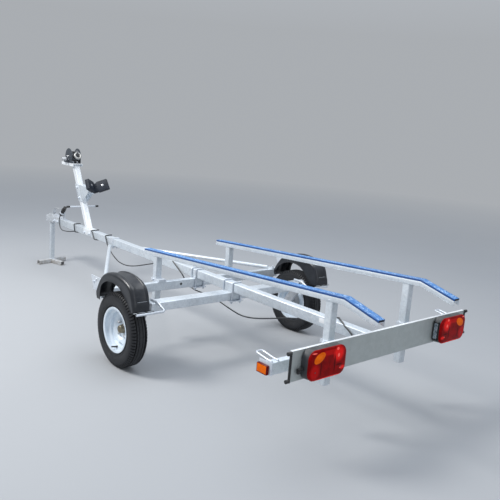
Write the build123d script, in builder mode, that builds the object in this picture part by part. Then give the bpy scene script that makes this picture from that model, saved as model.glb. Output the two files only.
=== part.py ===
from build123d import *

import os
from math import asin, atan, cos, degrees, hypot, radians, sin, sqrt, tan

# Small galvanised single-axle boat trailer, in millimetres.
# +X points forward to the coupling, +Y to the left, +Z up.
# The origin is on the ground, midway between the coupling's nose and the bunks' rear ends,
# and every x below is counted from the wheel centres and moved to that frame by axle_x.

os.makedirs("parts", exist_ok=True)

# Overall reach, from the wheel centres
nose_reach = 2822
bunk_reach = 1560
axle_x = (bunk_reach - nose_reach) / 2

# Fits and seats
seat_gap = 0.3
running_gap = 0.05

# Wheels
wheel_radius = 230
tyre_width = 110
track = 1474
wheel_y = track / 2
bead_radius = 128
carcass = 9
rim_flange_radius = 141
rim_half_width = 48
rim_wall = 3
rim_lean = 3
rim_well_radius = 106
disc_wall = 4
bolt_circle = 100
bolt_count = 4
bolt_hole_radius = 6.5
vent_count = 4
hub_radius = 31
hub_flange_radius = 66
hub_flange = 9
hub_length = 64
hub_to_wheel = 53
disc_offset = 17
cap_height = 10
stub_radius = 15

# Main tubes
tube_wall = 3
spine_size = 60
spine_low = 420
spine_front_back = 210
spine_front = nose_reach - spine_front_back
spine_mid = spine_low + spine_size / 2
spine_top = spine_low + spine_size

# Crossbeams: x of the rear face, depth along x, height, top z, half length
front_beam_past_wheel = 15
axle_beam_to_wheel = 97
front_beam = dict(rear=238, depth=40, height=60, top=spine_low, half=wheel_y + front_beam_past_wheel)
axle_beam = dict(rear=-168, depth=82, height=54, top=spine_low, half=wheel_y - axle_beam_to_wheel)
rear_beam = dict(rear=-1322, depth=40, height=60, top=470, half=740)

# Bunks and the posts that carry them
post_size = 45
bunk_y = 309.5
bunk_front = 435
bunk_kink = -1350
bunk_height = 643
bunk_slope = 0.0639
bunk_tail_slope = 0.26
pad_width = 50
pad_thick = 11
rail_height = 26
rail_wall = 3
rail_width = post_size + 2 * (seat_gap + rail_wall)
bunk_lifts = {"left": 0, "right": 24}
post_lows = {"front": 280, "rear": 256}
clamp_wall = 6
clamp_rise = 18

# Braces from the spine to the front crossbeam's ends
brace_radius = 14
brace_wall = 2.5
brace_x = 1450
brace_end_inset = 32
brace_end_y = front_beam["half"] - brace_end_inset
brace_sweep = 16
tab_thick = 6
tab_radius = 17

# Half axles: a torsion unit in the axle crossbeam's end and its arm
torsion_wall = 4
torsion_length = 80
arm_width = 17.7
arm_big_radius = 34
arm_small_radius = 28

# Mudguards: outline and wheel arch from the side, as x from the wheel centres and z
guard_inner_y = wheel_y - 47
guard_outer_y = wheel_y + 75
guard_wall = 4
guard_outline = (
    (203, 386), (210, 432), (140, 538), (40, 580), (-85, 581), (-200, 541), (-240, 455), (-247, 401),
)
guard_arch = ((-222, 401), (-200, 424), (-138, 480), (-62, 519), (50, 524), (128, 486), (151, 430), (148, 384))
guard_bend = 40
guard_tip = 6
guard_band = (wheel_y - 10, wheel_y + 50)
guard_band_rise = 4
guard_band_end = (-236.5, 464)
guard_lip_reach = 10
guard_flare = 14

# Mudguard stays
stay_radius = 7.5
stay_z = 393
stay_x = -255
stay_inset = 36
stay_y = axle_beam["half"] - stay_inset
stay_end_y = guard_outer_y - 20
stay_bend = 14
bracket_y_outer = guard_outer_y - 18
bracket_thick = 6
bracket_top = 506
bracket_overhang = 24

# Winch post, leaning forward
post_lean = 29.1
winch_post_size = 50
winch_post_x = 1932
winch_plate_low = 1031
winch_plate = 6
winch_plate_rear = 2186
winch_plate_front = 2432
winch_plate_width = 92
winch_plate_skirt = 19
saddle_rear = 1835
saddle_front = 1973
saddle_wall = 5
saddle_drop = 52

# Hand winch: gear, pinion, drum and side plates
winch_x = 2290
winch_axis_z = 1099
winch_side_radius = 71
winch_inner_half = 40
winch_wall = 4
winch_base_rear = 2224
winch_base_front = 2388
spacer_x = 2233
spacer_z = 1074
spacer_radius = 6
ratchet_teeth = 12
ratchet_radius = 20
pawl_x = 2302
pawl_z = 1056
pawl_length = 18
gear_module = 2.5
gear_teeth = 38
pinion_teeth = 10
gear_width = 7
drum_shaft_radius = 8
drum_core_radius = 18
drum_flange_radius = 50
drum_flange = 4
strap_radius = 43
strap_width = 60
strap_thick = 2.5
strap_tail = 40
ring_major = 27
ring_minor = 8.5
ring_eye = 12
ring_lean = 30
crank_drop = 32
crank_shaft_radius = 7
crank_arm_length = 62
crank_arm_rise = 8
crank_arm_width = 28
crank_arm_thick = 6
crank_y = 74
crank_knob_radius = 10
crank_knob_length = 34

# Bow stop, leaning forward with the winch post
bow_vertex_x = 1868
bow_vertex_z = 841
bow_edge_y = 110
bow_edge_back = 83
bow_edge_rise = 14
bow_height = 94
bow_thick = 32
bow_split = 40
bow_backing_thick = 5
bow_bracket_wall = 5
bow_bracket_low = 711
bow_bracket_high = 859
bow_tip_x = 1916
bow_tip_z = 822

# Cross handle on the winch post
handle_z = 662
handle_half = 153
handle_radius = 7
handle_cap = 28
handle_cap_wall = 2

# Coupling head
ball_radius = 25.25
ball_back = 38
ball_x = nose_reach - ball_back
ball_z = 440
coupling_wall = 5
coupling_length = 317
coupling_rear = nose_reach - coupling_length
hump_foot_back = 192
hump_rear_back = 150
hump_front_back = 100
belly_rear_back = 197
belly_back = 182
throat_back = 187
neck_back = 132
neck_half = 27
socket_half = 31
socket_flat_back = 54
cavity_front_back = 122
coupling_low = 418
coupling_hump = 504
lever_width = 30
lever_thick = 5
lever_foot_back = 102
lever_seat = 28
lever_knee_back = 146
lever_end_back = 288

# Parking stand under the coupling
stand_back = 98
stand_x = nose_reach - stand_back
stand_size = 40
stand_top = 403
stand_cap = 6
stand_pin_radius = 10
stand_pin_height = 44
stand_boss_radius = 19
foot_half = 157
foot_arm = 170
foot_yaw = 14

# Light board, lamps and markers
board_x = -1395
board_wall = 2
board_half = 696
board_low = 396
board_high = 540
board_lip = 16
bracket_y = 330
bracket_width = 40
bracket_wall = 5
bracket_z = 440
bracket_drop = 25
lamp_to_board_end = 58
lamp_width = 250
lamp_outer = board_half - lamp_to_board_end
lamp_inner = lamp_outer - lamp_width
lamp_low = 396
lamp_high = 543
lamp_body = 32
lamp_lens = 21
lamp_corner = 42
lamp_inset = 3
lens_round = 8
amber_radius = 17
amber_spots = ((lamp_outer - 42, lamp_high - 52), (lamp_outer - 85, lamp_high - 26))
clip_radius = 6
clip_knob = 9
marker_rear = -1307
marker_front = -1240
marker_low = 409
marker_high = 453
marker_thick = 14
end_plate = 3

# Lashing loops and beam clamps
loop_radius = 4
loop_half = 19
loop_inset = 22
loop_y = rear_beam["half"] - loop_inset
loop_front = -1205
u_bolt_radius = 5
u_bolt_drop = 16
clamp_plate = 6

# Wiring cable and its parked plug
cable_radius = 4.3
wrap_radius = 9
wrap_out = spine_size / 2 + cable_radius + 1.2
plug_radius = 19
plug_back = 390
plug_y = 40
plug_rise = 56


def at(x, y=0, z=0):
    """A place counted from the wheel centres, moved to the part's frame."""
    return (axle_x + x, y, z)


def block(xs, ys, zs, mode=Mode.ADD):
    """A rectangular block between three pairs of limits, with x counted from the wheels."""
    middle = at(sum(xs) / 2, sum(ys) / 2, sum(zs) / 2)
    with Locations(middle):
        Box(abs(xs[1] - xs[0]), abs(ys[1] - ys[0]), abs(zs[1] - zs[0]), mode=mode)


def hollow_bar(plane, width, height, wall, length):
    """A rectangular tube with rounded corners along the plane's normal."""
    with BuildSketch(plane) as section:
        RectangleRounded(width, height, 2 * wall)
        RectangleRounded(width - 2 * wall, height - 2 * wall, wall, mode=Mode.SUBTRACT)
    extrude(section.sketch, amount=length)


def rod(start, end, radius, mode=Mode.ADD):
    """A round bar between two places, with x counted from the wheels."""
    line = Vector(*at(*end)) - Vector(*at(*start))
    with BuildSketch(Plane(origin=at(*start), z_dir=line)) as section:
        Circle(radius)
    extrude(section.sketch, amount=line.length, mode=mode)


def side_plane(y=0):
    """The upright plane along the trailer at this y, whose sketch axes are x and z."""
    return Plane(origin=at(0, y, 0), x_dir=(1, 0, 0), z_dir=(0, -1, 0))


def write(piece, name):
    """Label a finished piece and write its STEP file."""
    piece.part.label = name
    export_step(piece.part, f"parts/{name}.step")


def write_pair(piece, name):
    """Write the left piece and its mirror image on the right."""
    write(piece, f"{name}_left")
    with BuildPart() as other:
        mirror(piece.part, about=Plane.XZ)
    write(other, f"{name}_right")


# Spine: one square tube from the rear crossmember to the coupling

spine_rear = rear_beam["rear"] + rear_beam["depth"]
with BuildPart() as spine:
    hollow_bar(
        Plane(origin=at(spine_rear, 0, spine_mid), x_dir=(0, 1, 0), z_dir=(1, 0, 0)),
        spine_size, spine_size, tube_wall, spine_front - spine_rear,
    )
write(spine, "spine")

# Crossbeams: rectangular tubes across the trailer

crossbeams = {"front_crossbeam": front_beam, "axle_crossbeam": axle_beam, "rear_crossmember": rear_beam}
for name, beam in crossbeams.items():
    middle = at(beam["rear"] + beam["depth"] / 2, -beam["half"], beam["top"] - beam["height"] / 2)
    with BuildPart() as crossbeam:
        hollow_bar(
            Plane(origin=middle, x_dir=(1, 0, 0), z_dir=(0, 1, 0)),
            beam["depth"], beam["height"], tube_wall, 2 * beam["half"],
        )
    write(crossbeam, name)

# Bunk rails: channels open below, over the posts' tops, each under its pad


def bunk_top(x, lift):
    """Height of a pad's top face."""
    if x >= bunk_kink:
        return bunk_height + lift - bunk_slope * x
    kink_height = bunk_height + lift - bunk_slope * bunk_kink
    return kink_height + bunk_tail_slope * (x - bunk_kink)


def bunk_strip(lift, upper, lower, width, mode=Mode.ADD):
    """A strip under the pad's top face, between two depths below it."""
    stations = (bunk_front, bunk_kink, -bunk_reach)
    with BuildSketch(side_plane()) as outline:
        with BuildLine():
            Polyline(
                *[(x, bunk_top(x, lift) - upper) for x in stations],
                *[(x, bunk_top(x, lift) - lower) for x in reversed(stations)],
                close=True,
            )
        make_face()
    extrude(outline.sketch, amount=width / 2, both=True, mode=mode)


rail_low = pad_thick + rail_height
for side, sign in (("left", 1), ("right", -1)):
    lift = bunk_lifts[side]
    with BuildPart() as rail_form:
        bunk_strip(lift, pad_thick, rail_low, rail_width)
        bunk_strip(lift, pad_thick + rail_wall, rail_low + rail_wall, rail_width - 2 * rail_wall, Mode.SUBTRACT)
    with BuildPart() as rail:
        add(rail_form.part.moved(Location((0, sign * bunk_y, 0))))
    write(rail, f"bunk_rail_{side}")
    with BuildPart() as pad_form:
        bunk_strip(lift, 0, pad_thick, pad_width)
    with BuildPart() as pad:
        add(pad_form.part.moved(Location((0, sign * bunk_y, 0))))
    write(pad, f"bunk_pad_{side}")

# Bunk posts stand on the front side of their beams, and clamp caps hold them there

post_beams = {"front": front_beam, "rear": rear_beam}
for place, beam in post_beams.items():
    post_rear = beam["rear"] + beam["depth"] + seat_gap
    post_x = post_rear + post_size / 2
    with BuildPart() as posts:
        for side, sign in (("left", 1), ("right", -1)):
            front_height = bunk_top(post_x + post_size / 2, bunk_lifts[side])
            post_high = front_height - pad_thick - rail_wall - seat_gap
            hollow_bar(
                Plane(origin=at(post_x, sign * bunk_y, post_lows[place])),
                post_size, post_size, tube_wall, post_high - post_lows[place],
            )
    write(posts, f"bunk_posts_{place}")
    hole = post_size / 2 + seat_gap
    outer = hole + clamp_wall
    cap_rear = beam["rear"] - clamp_wall
    with BuildPart() as clamps:
        for sign in (1, -1):
            y_limits = (sign * bunk_y - outer, sign * bunk_y + outer)
            hole_limits = (sign * bunk_y - hole, sign * bunk_y + hole)
            block((cap_rear, post_x + outer), y_limits, (beam["top"] + seat_gap, beam["top"] + clamp_rise))
            hole_heights = (beam["top"] - 1, beam["top"] + clamp_rise + 1)
            block((post_x - hole, post_x + hole), hole_limits, hole_heights, Mode.SUBTRACT)
            block(
                (cap_rear + clamp_wall, post_x - hole - clamp_wall),
                hole_limits,
                (beam["top"] - 1, beam["top"] + clamp_rise - clamp_wall),
                Mode.SUBTRACT,
            )
    write(clamps, f"post_clamps_{place}")

# Braces: round tubes whose flattened ends bolt under the spine and on the front crossbeam

brace_start = Vector(*at(brace_x, spine_size / 2 + brace_radius + 6, spine_low - tab_thick / 2))
brace_end_x = front_beam["rear"] + front_beam["depth"] / 2
brace_end = Vector(*at(brace_end_x + 40, brace_end_y - brace_sweep, spine_low + tab_thick / 2))
brace_line = brace_end - brace_start
with BuildPart() as brace:
    with BuildSketch(Plane(origin=brace_start, z_dir=brace_line)) as ring:
        Circle(brace_radius)
        Circle(brace_radius - brace_wall, mode=Mode.SUBTRACT)
    extrude(ring.sketch, amount=brace_line.length)
    tabs = (
        (spine_low - tab_thick, brace_start, (brace_x, tab_radius + 1)),
        (spine_low, brace_end, (brace_end_x, brace_end_y)),
    )
    for low, tube_end, bolt in tabs:
        with BuildSketch(Plane.XY.offset(low)) as tab:
            with Locations((tube_end.X, tube_end.Y)):
                Circle(tab_radius - 2)
            with Locations((axle_x + bolt[0], bolt[1])):
                Circle(tab_radius)
            make_hull()
        extrude(tab.sketch, amount=tab_thick)
write_pair(brace, "brace")

clamp_half = 20
clamp_low = spine_low - tab_thick - seat_gap
with BuildPart() as brace_clamp:
    strap_outer = spine_size / 2 + seat_gap + 4
    limits = (brace_x - clamp_half, brace_x + clamp_half)
    block(limits, (-strap_outer, strap_outer), (spine_low + brace_radius + 2, spine_top + seat_gap + 4))
    block(limits, (-strap_outer, strap_outer), (clamp_low - 6, clamp_low))
    block(
        (brace_x - clamp_half - 1, brace_x + clamp_half + 1),
        (-spine_size / 2 - seat_gap, spine_size / 2 + seat_gap),
        (spine_low, spine_top + seat_gap),
        Mode.SUBTRACT,
    )
write(brace_clamp, "brace_clamp")

# Half axles: a torsion unit inside the axle crossbeam's end, an arm and the stub for the hub

torsion_x = axle_beam["rear"] + axle_beam["depth"] / 2
torsion_z = axle_beam["top"] - axle_beam["height"] / 2
torsion_fit = 2 * (tube_wall + seat_gap)
torsion_inner_y = axle_beam["half"] - torsion_length
arm_inner_y = axle_beam["half"] + seat_gap
arm_outer_y = arm_inner_y + arm_width
hub_inner_y = wheel_y - hub_to_wheel
with BuildPart() as half_axle:
    hollow_bar(
        Plane(origin=at(torsion_x, torsion_inner_y, torsion_z), x_dir=(1, 0, 0), z_dir=(0, 1, 0)),
        axle_beam["depth"] - torsion_fit, axle_beam["height"] - torsion_fit, torsion_wall,
        arm_inner_y + 1 - torsion_inner_y,
    )
    with BuildSketch(side_plane(arm_inner_y)) as arm:
        with Locations((torsion_x, torsion_z)):
            Circle(arm_big_radius)
        with Locations((0, wheel_radius)):
            Circle(arm_small_radius)
        make_hull()
    extrude(arm.sketch, amount=arm_inner_y - arm_outer_y)
    rod((0, arm_outer_y, wheel_radius), (0, hub_inner_y - seat_gap, wheel_radius), 22)
    rod((0, arm_outer_y, wheel_radius), (0, hub_inner_y + hub_length - 6, wheel_radius), stub_radius)
write_pair(half_axle, "half_axle")

# Hubs: turned barrel and flange with a cap over the stub's end

hub_plane = Plane(origin=at(0, 0, wheel_radius), x_dir=(0, 1, 0), z_dir=(1, 0, 0))
wheel_axis = Axis(origin=at(0, 0, wheel_radius), direction=(0, 1, 0))
disc_y = wheel_y - disc_offset
hub_outer_y = hub_inner_y + hub_length
bore = stub_radius + running_gap
with BuildPart() as hub:
    with BuildSketch(hub_plane) as hub_section:
        with BuildLine():
            Polyline(
                (hub_inner_y, bore),
                (hub_inner_y, hub_radius + 3),
                (disc_y - hub_flange, hub_radius + 5),
                (disc_y - hub_flange, hub_flange_radius),
                (disc_y, hub_flange_radius),
                (disc_y, hub_radius),
                (hub_outer_y, hub_radius),
                (hub_outer_y + cap_height - 3, hub_radius - 2),
                (hub_outer_y + cap_height, hub_radius - 9),
                (hub_outer_y + cap_height, 0),
                (hub_outer_y + cap_height - 3, 0),
                (hub_outer_y, bore),
                close=True,
            )
        make_face()
    revolve(hub_section.sketch, axis=wheel_axis)
    bolt_plane = Plane(origin=at(0, disc_y - 1, wheel_radius), x_dir=(1, 0, 0), z_dir=(0, 1, 0))
    with BuildSketch(bolt_plane) as studs:
        with PolarLocations(bolt_circle / 2, bolt_count, start_angle=45):
            Circle(bolt_hole_radius - 0.5)
    extrude(studs.sketch, amount=disc_wall + 14)
write_pair(hub, "hub")

# Rims: rolled barrel with a dished disc, bolt holes and vents

disc_mid = disc_y + disc_wall / 2 + seat_gap
with BuildPart() as rim:
    with BuildSketch(hub_plane) as rim_section:
        flange_mid = rim_flange_radius - rim_wall / 2
        seat_mid = bead_radius - rim_wall / 2 - seat_gap
        well_mid = rim_well_radius + rim_wall / 2
        with BuildLine():
            Polyline(
                (wheel_y - rim_half_width, flange_mid),
                (wheel_y - rim_half_width + rim_lean, seat_mid),
                (wheel_y - 26, seat_mid - 1),
                (wheel_y - 19, well_mid),
                (wheel_y + 16, well_mid),
                (wheel_y + 23, seat_mid - 1),
                (wheel_y + rim_half_width - rim_lean, seat_mid),
                (wheel_y + rim_half_width, flange_mid),
            )
        trace(line_width=rim_wall)
        with BuildLine():
            Polyline(
                (disc_mid, hub_radius + 1),
                (disc_mid, 63),
                (disc_mid + 10, 72),
                (disc_mid + 18, 84),
                (disc_mid + 16, well_mid),
            )
        trace(line_width=disc_wall)
    revolve(rim_section.sketch, axis=wheel_axis)
    cut_plane = Plane(origin=at(0, disc_mid - 10, wheel_radius), x_dir=(1, 0, 0), z_dir=(0, 1, 0))
    with BuildSketch(cut_plane) as bolt_holes:
        with PolarLocations(bolt_circle / 2, bolt_count, start_angle=45):
            Circle(bolt_hole_radius + seat_gap)
    extrude(bolt_holes.sketch, amount=40, mode=Mode.SUBTRACT)
    with BuildSketch(cut_plane) as vents:
        with PolarLocations(90, vent_count):
            SlotOverall(30, 11, rotation=90)
    extrude(vents.sketch, amount=60, mode=Mode.SUBTRACT)
write_pair(rim, "rim")

# Tyres: a hollow carcass on the rim's bead seats


def tyre_outline(inset):
    """The tyre's section outline, moved inwards by the inset above its beads."""
    half = tyre_width / 2 - inset
    crown = wheel_radius - inset
    bead = rim_half_width - rim_lean - rim_wall / 2 - seat_gap - inset
    with BuildLine() as outline:
        lower = Line((wheel_y - bead, bead_radius), (wheel_y - bead, rim_flange_radius + 3))
        bulge = ThreePointArc(lower @ 1, (wheel_y - half, 184), (wheel_y - half + 6, crown - 14))
        shoulder = Line(bulge @ 1, (wheel_y - half + 15, crown - 3))
        tread = ThreePointArc(shoulder @ 1, (wheel_y, crown), (wheel_y + half - 15, crown - 3))
        far_shoulder = Line(tread @ 1, (wheel_y + half - 6, crown - 14))
        far_bulge = ThreePointArc(far_shoulder @ 1, (wheel_y + half, 184), (wheel_y + bead, rim_flange_radius + 3))
        far_lower = Line(far_bulge @ 1, (wheel_y + bead, bead_radius))
        Line(far_lower @ 1, lower @ 0)
    make_face(outline.edges())


with BuildPart() as tyre:
    with BuildSketch(hub_plane) as tyre_section:
        tyre_outline(0)
    revolve(tyre_section.sketch, axis=wheel_axis)
    with BuildSketch(hub_plane) as cavity_section:
        tyre_outline(carcass)
    revolve(cavity_section.sketch, axis=wheel_axis, mode=Mode.SUBTRACT)
write_pair(tyre, "tyre")

# Mudguards: a crown with a raised middle band, a skirt round the wheel arch and a turned-out rear lip

with BuildPart() as mudguard:
    bends = [guard_bend] * (len(guard_outline) - 2)
    with BuildSketch(side_plane(guard_inner_y)) as crown:
        with BuildLine():
            FilletPolyline(*guard_outline, radius=bends)
        trace(line_width=guard_wall)
    extrude(crown.sketch, amount=guard_inner_y - guard_outer_y)
    with BuildSketch(side_plane(guard_band[0])) as band:
        with BuildLine():
            FilletPolyline(*guard_outline[:-2], guard_band_end, radius=bends[1:])
        trace(line_width=guard_wall + 2 * guard_band_rise)
    extrude(band.sketch, amount=guard_band[0] - guard_band[1])
    with BuildSketch(side_plane(guard_outer_y - guard_wall)) as skirt:
        with BuildLine():
            arch_bends = [guard_bend / 2] * (len(guard_arch) - 2)
            corners = [guard_tip, *bends, guard_tip, guard_tip, *arch_bends, guard_tip]
            FilletPolyline(*guard_outline, *guard_arch, close=True, radius=corners)
        make_face()
    extrude(skirt.sketch, amount=-guard_wall)
    lip_x, lip_z = guard_outline[-1]
    lip_ys = (guard_inner_y - guard_flare, guard_outer_y)
    block((lip_x - guard_lip_reach, lip_x), lip_ys, (lip_z, lip_z + guard_wall))
write_pair(mudguard, "mudguard")

# Mudguard stays: a bent bar behind the wheel, and a plate bracket at the front crossbeam's end

with BuildPart() as guard_stay:
    bar_top = axle_beam["top"] + stay_radius + seat_gap
    bar_start = at(torsion_x + 25, stay_y, bar_top)
    with BuildLine() as bar_path:
        FilletPolyline(
            bar_start,
            at(axle_beam["rear"] - 6, stay_y, bar_top),
            at(stay_x, stay_y, stay_z),
            at(stay_x, stay_end_y, stay_z),
            radius=stay_bend,
        )
    with BuildSketch(Plane(origin=bar_start, z_dir=(-1, 0, 0))) as bar_section:
        Circle(stay_radius)
    sweep(bar_section.sketch, path=bar_path.wire())
    beam_front = front_beam["rear"] + front_beam["depth"]
    beam_top = front_beam["top"] + seat_gap
    foot_ys = (brace_end_y + tab_radius + 1, bracket_y_outer)
    block((front_beam["rear"] + 4, beam_front - 2), foot_ys, (beam_top, beam_top + bracket_thick))
    with BuildSketch(side_plane(bracket_y_outer - bracket_thick)) as plate:
        with BuildLine():
            crown_low, crown_high = guard_outline[1:3]
            slope = (crown_high[0] - crown_low[0]) / (crown_high[1] - crown_low[1])
            clear = (guard_wall / 2 + seat_gap) / cos(atan(slope))
            Polyline(
                (crown_low[0] + clear, beam_top),
                (crown_low[0] + clear, crown_low[1]),
                (crown_low[0] + slope * (bracket_top - crown_low[1]) + clear, bracket_top),
                (beam_front + bracket_overhang, bracket_top),
                (beam_front - 14, beam_top),
                close=True,
            )
        make_face()
    extrude(plate.sketch, amount=-bracket_thick)
write_pair(guard_stay, "guard_stay")

# Winch post: saddle on the spine, leaning square tube and level top plate

lean = tan(radians(post_lean))
saddle_top = spine_top + seat_gap + saddle_wall


def winch_post_axis(z):
    """x of the leaning post's axis at a height."""
    return winch_post_x + (z - spine_top) * lean


with BuildPart() as winch_post:
    post_start = Plane(
        origin=at(winch_post_axis(saddle_top - 60), 0, saddle_top - 60),
        x_dir=(0, 1, 0),
        z_dir=(sin(radians(post_lean)), 0, cos(radians(post_lean))),
    )
    post_length = (winch_plate_low - saddle_top + 120) / cos(radians(post_lean))
    hollow_bar(post_start, winch_post_size, winch_post_size, tube_wall, post_length)
    split(bisect_by=Plane.XY.offset(saddle_top - saddle_wall / 2), keep=Keep.TOP)
    split(bisect_by=Plane.XY.offset(winch_plate_low + winch_plate / 2), keep=Keep.BOTTOM)
    saddle_half = spine_size / 2 + seat_gap + saddle_wall
    block((saddle_rear, saddle_front), (-saddle_half, saddle_half), (spine_top - saddle_drop, saddle_top))
    block(
        (saddle_rear - 1, saddle_front + 1),
        (-spine_size / 2 - seat_gap, spine_size / 2 + seat_gap),
        (spine_low, spine_top + seat_gap),
        Mode.SUBTRACT,
    )
    block(
        (winch_plate_rear, winch_plate_front),
        (-winch_plate_width / 2, winch_plate_width / 2),
        (winch_plate_low, winch_plate_low + winch_plate),
    )
    for sign in (1, -1):
        block(
            (winch_plate_rear, winch_plate_front),
            (sign * (winch_plate_width / 2 - saddle_wall), sign * winch_plate_width / 2),
            (winch_plate_low - winch_plate_skirt, winch_plate_low + 1),
        )
write(winch_post, "winch_post")

# Winch frame: a channel whose side plates rise in round heads and carry both shafts

frame_low = winch_plate_low + winch_plate
gear_pitch_radius = gear_module * gear_teeth / 2
pinion_pitch_radius = gear_module * pinion_teeth / 2
shaft_distance = gear_pitch_radius + pinion_pitch_radius + 0.1
crank_x = winch_x + sqrt(shaft_distance**2 - crank_drop**2)
crank_z = winch_axis_z - crank_drop
plate_half = winch_inner_half + winch_wall
with BuildPart() as winch_frame:
    with BuildSketch(side_plane()) as head:
        with Locations((winch_x, winch_axis_z)):
            Circle(winch_side_radius)
        with Locations(((winch_base_rear + winch_base_front) / 2, frame_low + 20)):
            Rectangle(winch_base_front - winch_base_rear, 40)
        with Locations((winch_x, frame_low - 20)):
            Rectangle(3 * winch_side_radius, 40, mode=Mode.SUBTRACT)
        with Locations((winch_x, winch_axis_z)):
            Circle(drum_shaft_radius + running_gap, mode=Mode.SUBTRACT)
        with Locations((crank_x, crank_z)):
            Circle(crank_shaft_radius + running_gap, mode=Mode.SUBTRACT)
    extrude(head.sketch, amount=plate_half, both=True)
    block(
        (winch_base_rear - 10, winch_base_front + 10),
        (-winch_inner_half, winch_inner_half),
        (frame_low + winch_wall, winch_axis_z + 2 * winch_side_radius),
        Mode.SUBTRACT,
    )
    rod((spacer_x, -winch_inner_half - 1, spacer_z), (spacer_x, winch_inner_half + 1, spacer_z), spacer_radius)
    rod((pawl_x, plate_half - 1, pawl_z), (pawl_x, plate_half + 8, pawl_z), 5)
    with BuildSketch(side_plane(plate_half + 1)) as pawl:
        with Locations((pawl_x, pawl_z)):
            Circle(8)
        with Locations((pawl_x - pawl_length, pawl_z - 6)):
            Circle(4)
        make_hull()
    extrude(pawl.sketch, amount=-4)
write(winch_frame, "winch_frame")


# Winch drum: shaft, core, flange and the large gear on one body

gear_y = winch_inner_half - 4 - gear_width
crank_angle = degrees(asin(crank_drop / shaft_distance))
shaft_plane = Plane(origin=at(winch_x, gear_y, winch_axis_z), x_dir=(1, 0, 0), z_dir=(0, -1, 0))
with BuildPart() as winch_drum:
    rod((winch_x, -plate_half - 5, winch_axis_z), (winch_x, plate_half + 5, winch_axis_z), drum_shaft_radius)
    rod((winch_x, -winch_inner_half + 1, winch_axis_z), (winch_x, gear_y, winch_axis_z), drum_core_radius)
    flange_y = -winch_inner_half + 1
    rod((winch_x, flange_y, winch_axis_z), (winch_x, flange_y + drum_flange, winch_axis_z), drum_flange_radius)
    with BuildSketch(shaft_plane) as gear_face:
        pitch_radius = gear_pitch_radius
        root_radius = pitch_radius - 1.25 * gear_module
        Circle(root_radius + 0.2)
        with PolarLocations(0, gear_teeth, start_angle=-crank_angle + 180 / gear_teeth):
            Polygon(
                (root_radius - 1, -gear_module * 0.95),
                (pitch_radius + gear_module * 0.9, -gear_module * 0.4),
                (pitch_radius + gear_module * 0.9, gear_module * 0.4),
                (root_radius - 1, gear_module * 0.95),
                align=None,
            )
    extrude(gear_face.sketch, amount=-gear_width)
write(winch_drum, "winch_drum")

# Strap wound on the drum
with BuildPart() as winch_strap:
    strap_low_y = flange_y + drum_flange + seat_gap
    with BuildSketch(Plane(origin=at(winch_x, strap_low_y, winch_axis_z), z_dir=(0, 1, 0))) as roll:
        Circle(strap_radius)
        Circle(drum_core_radius + seat_gap, mode=Mode.SUBTRACT)
    extrude(roll.sketch, amount=strap_width)
write(winch_strap, "winch_strap")

# Crank: pinion and ratchet wheel on its shaft, and the short arm with its knob
knob_x = crank_x - crank_arm_length * cos(radians(crank_arm_rise))
knob_z = crank_z + crank_arm_length * sin(radians(crank_arm_rise))
with BuildPart() as winch_crank:
    rod((crank_x, -plate_half - 4, crank_z), (crank_x, crank_y + crank_arm_thick + 2, crank_z), crank_shaft_radius)
    rod((crank_x, plate_half + 0.5, crank_z), (crank_x, crank_y, crank_z), crank_shaft_radius + 5)
    with BuildSketch(Plane(origin=at(crank_x, gear_y, crank_z), x_dir=(1, 0, 0), z_dir=(0, -1, 0))) as pinion_face:
        root_radius = pinion_pitch_radius - 1.25 * gear_module
        Circle(root_radius + 0.2)
        with PolarLocations(0, pinion_teeth, start_angle=180 - crank_angle):
            Polygon(
                (root_radius - 1, -gear_module * 0.9),
                (pinion_pitch_radius + gear_module * 0.9, -gear_module * 0.4),
                (pinion_pitch_radius + gear_module * 0.9, gear_module * 0.4),
                (root_radius - 1, gear_module * 0.9),
                align=None,
            )
    extrude(pinion_face.sketch, amount=-gear_width)
    with BuildSketch(side_plane(crank_y)) as arm_face:
        with Locations((crank_x, crank_z)):
            Circle(crank_arm_width / 2)
        with Locations((knob_x, knob_z)):
            Circle(crank_arm_width / 2 - 2)
        make_hull()
    extrude(arm_face.sketch, amount=-crank_arm_thick)
    knob_start = crank_y + crank_arm_thick
    rod((knob_x, knob_start, knob_z), (knob_x, knob_start + crank_knob_length, knob_z), crank_knob_radius)
    ratchet_plane = Plane(origin=at(crank_x, plate_half + 2, crank_z), x_dir=(1, 0, 0), z_dir=(0, -1, 0))
    with BuildSketch(ratchet_plane) as ratchet:
        Circle(ratchet_radius - 3)
        with PolarLocations(0, ratchet_teeth):
            Polygon((ratchet_radius - 5, -4), (ratchet_radius, -3), (ratchet_radius - 4, 4), align=None)
    extrude(ratchet.sketch, amount=-5)
write(winch_crank, "winch_crank")

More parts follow.
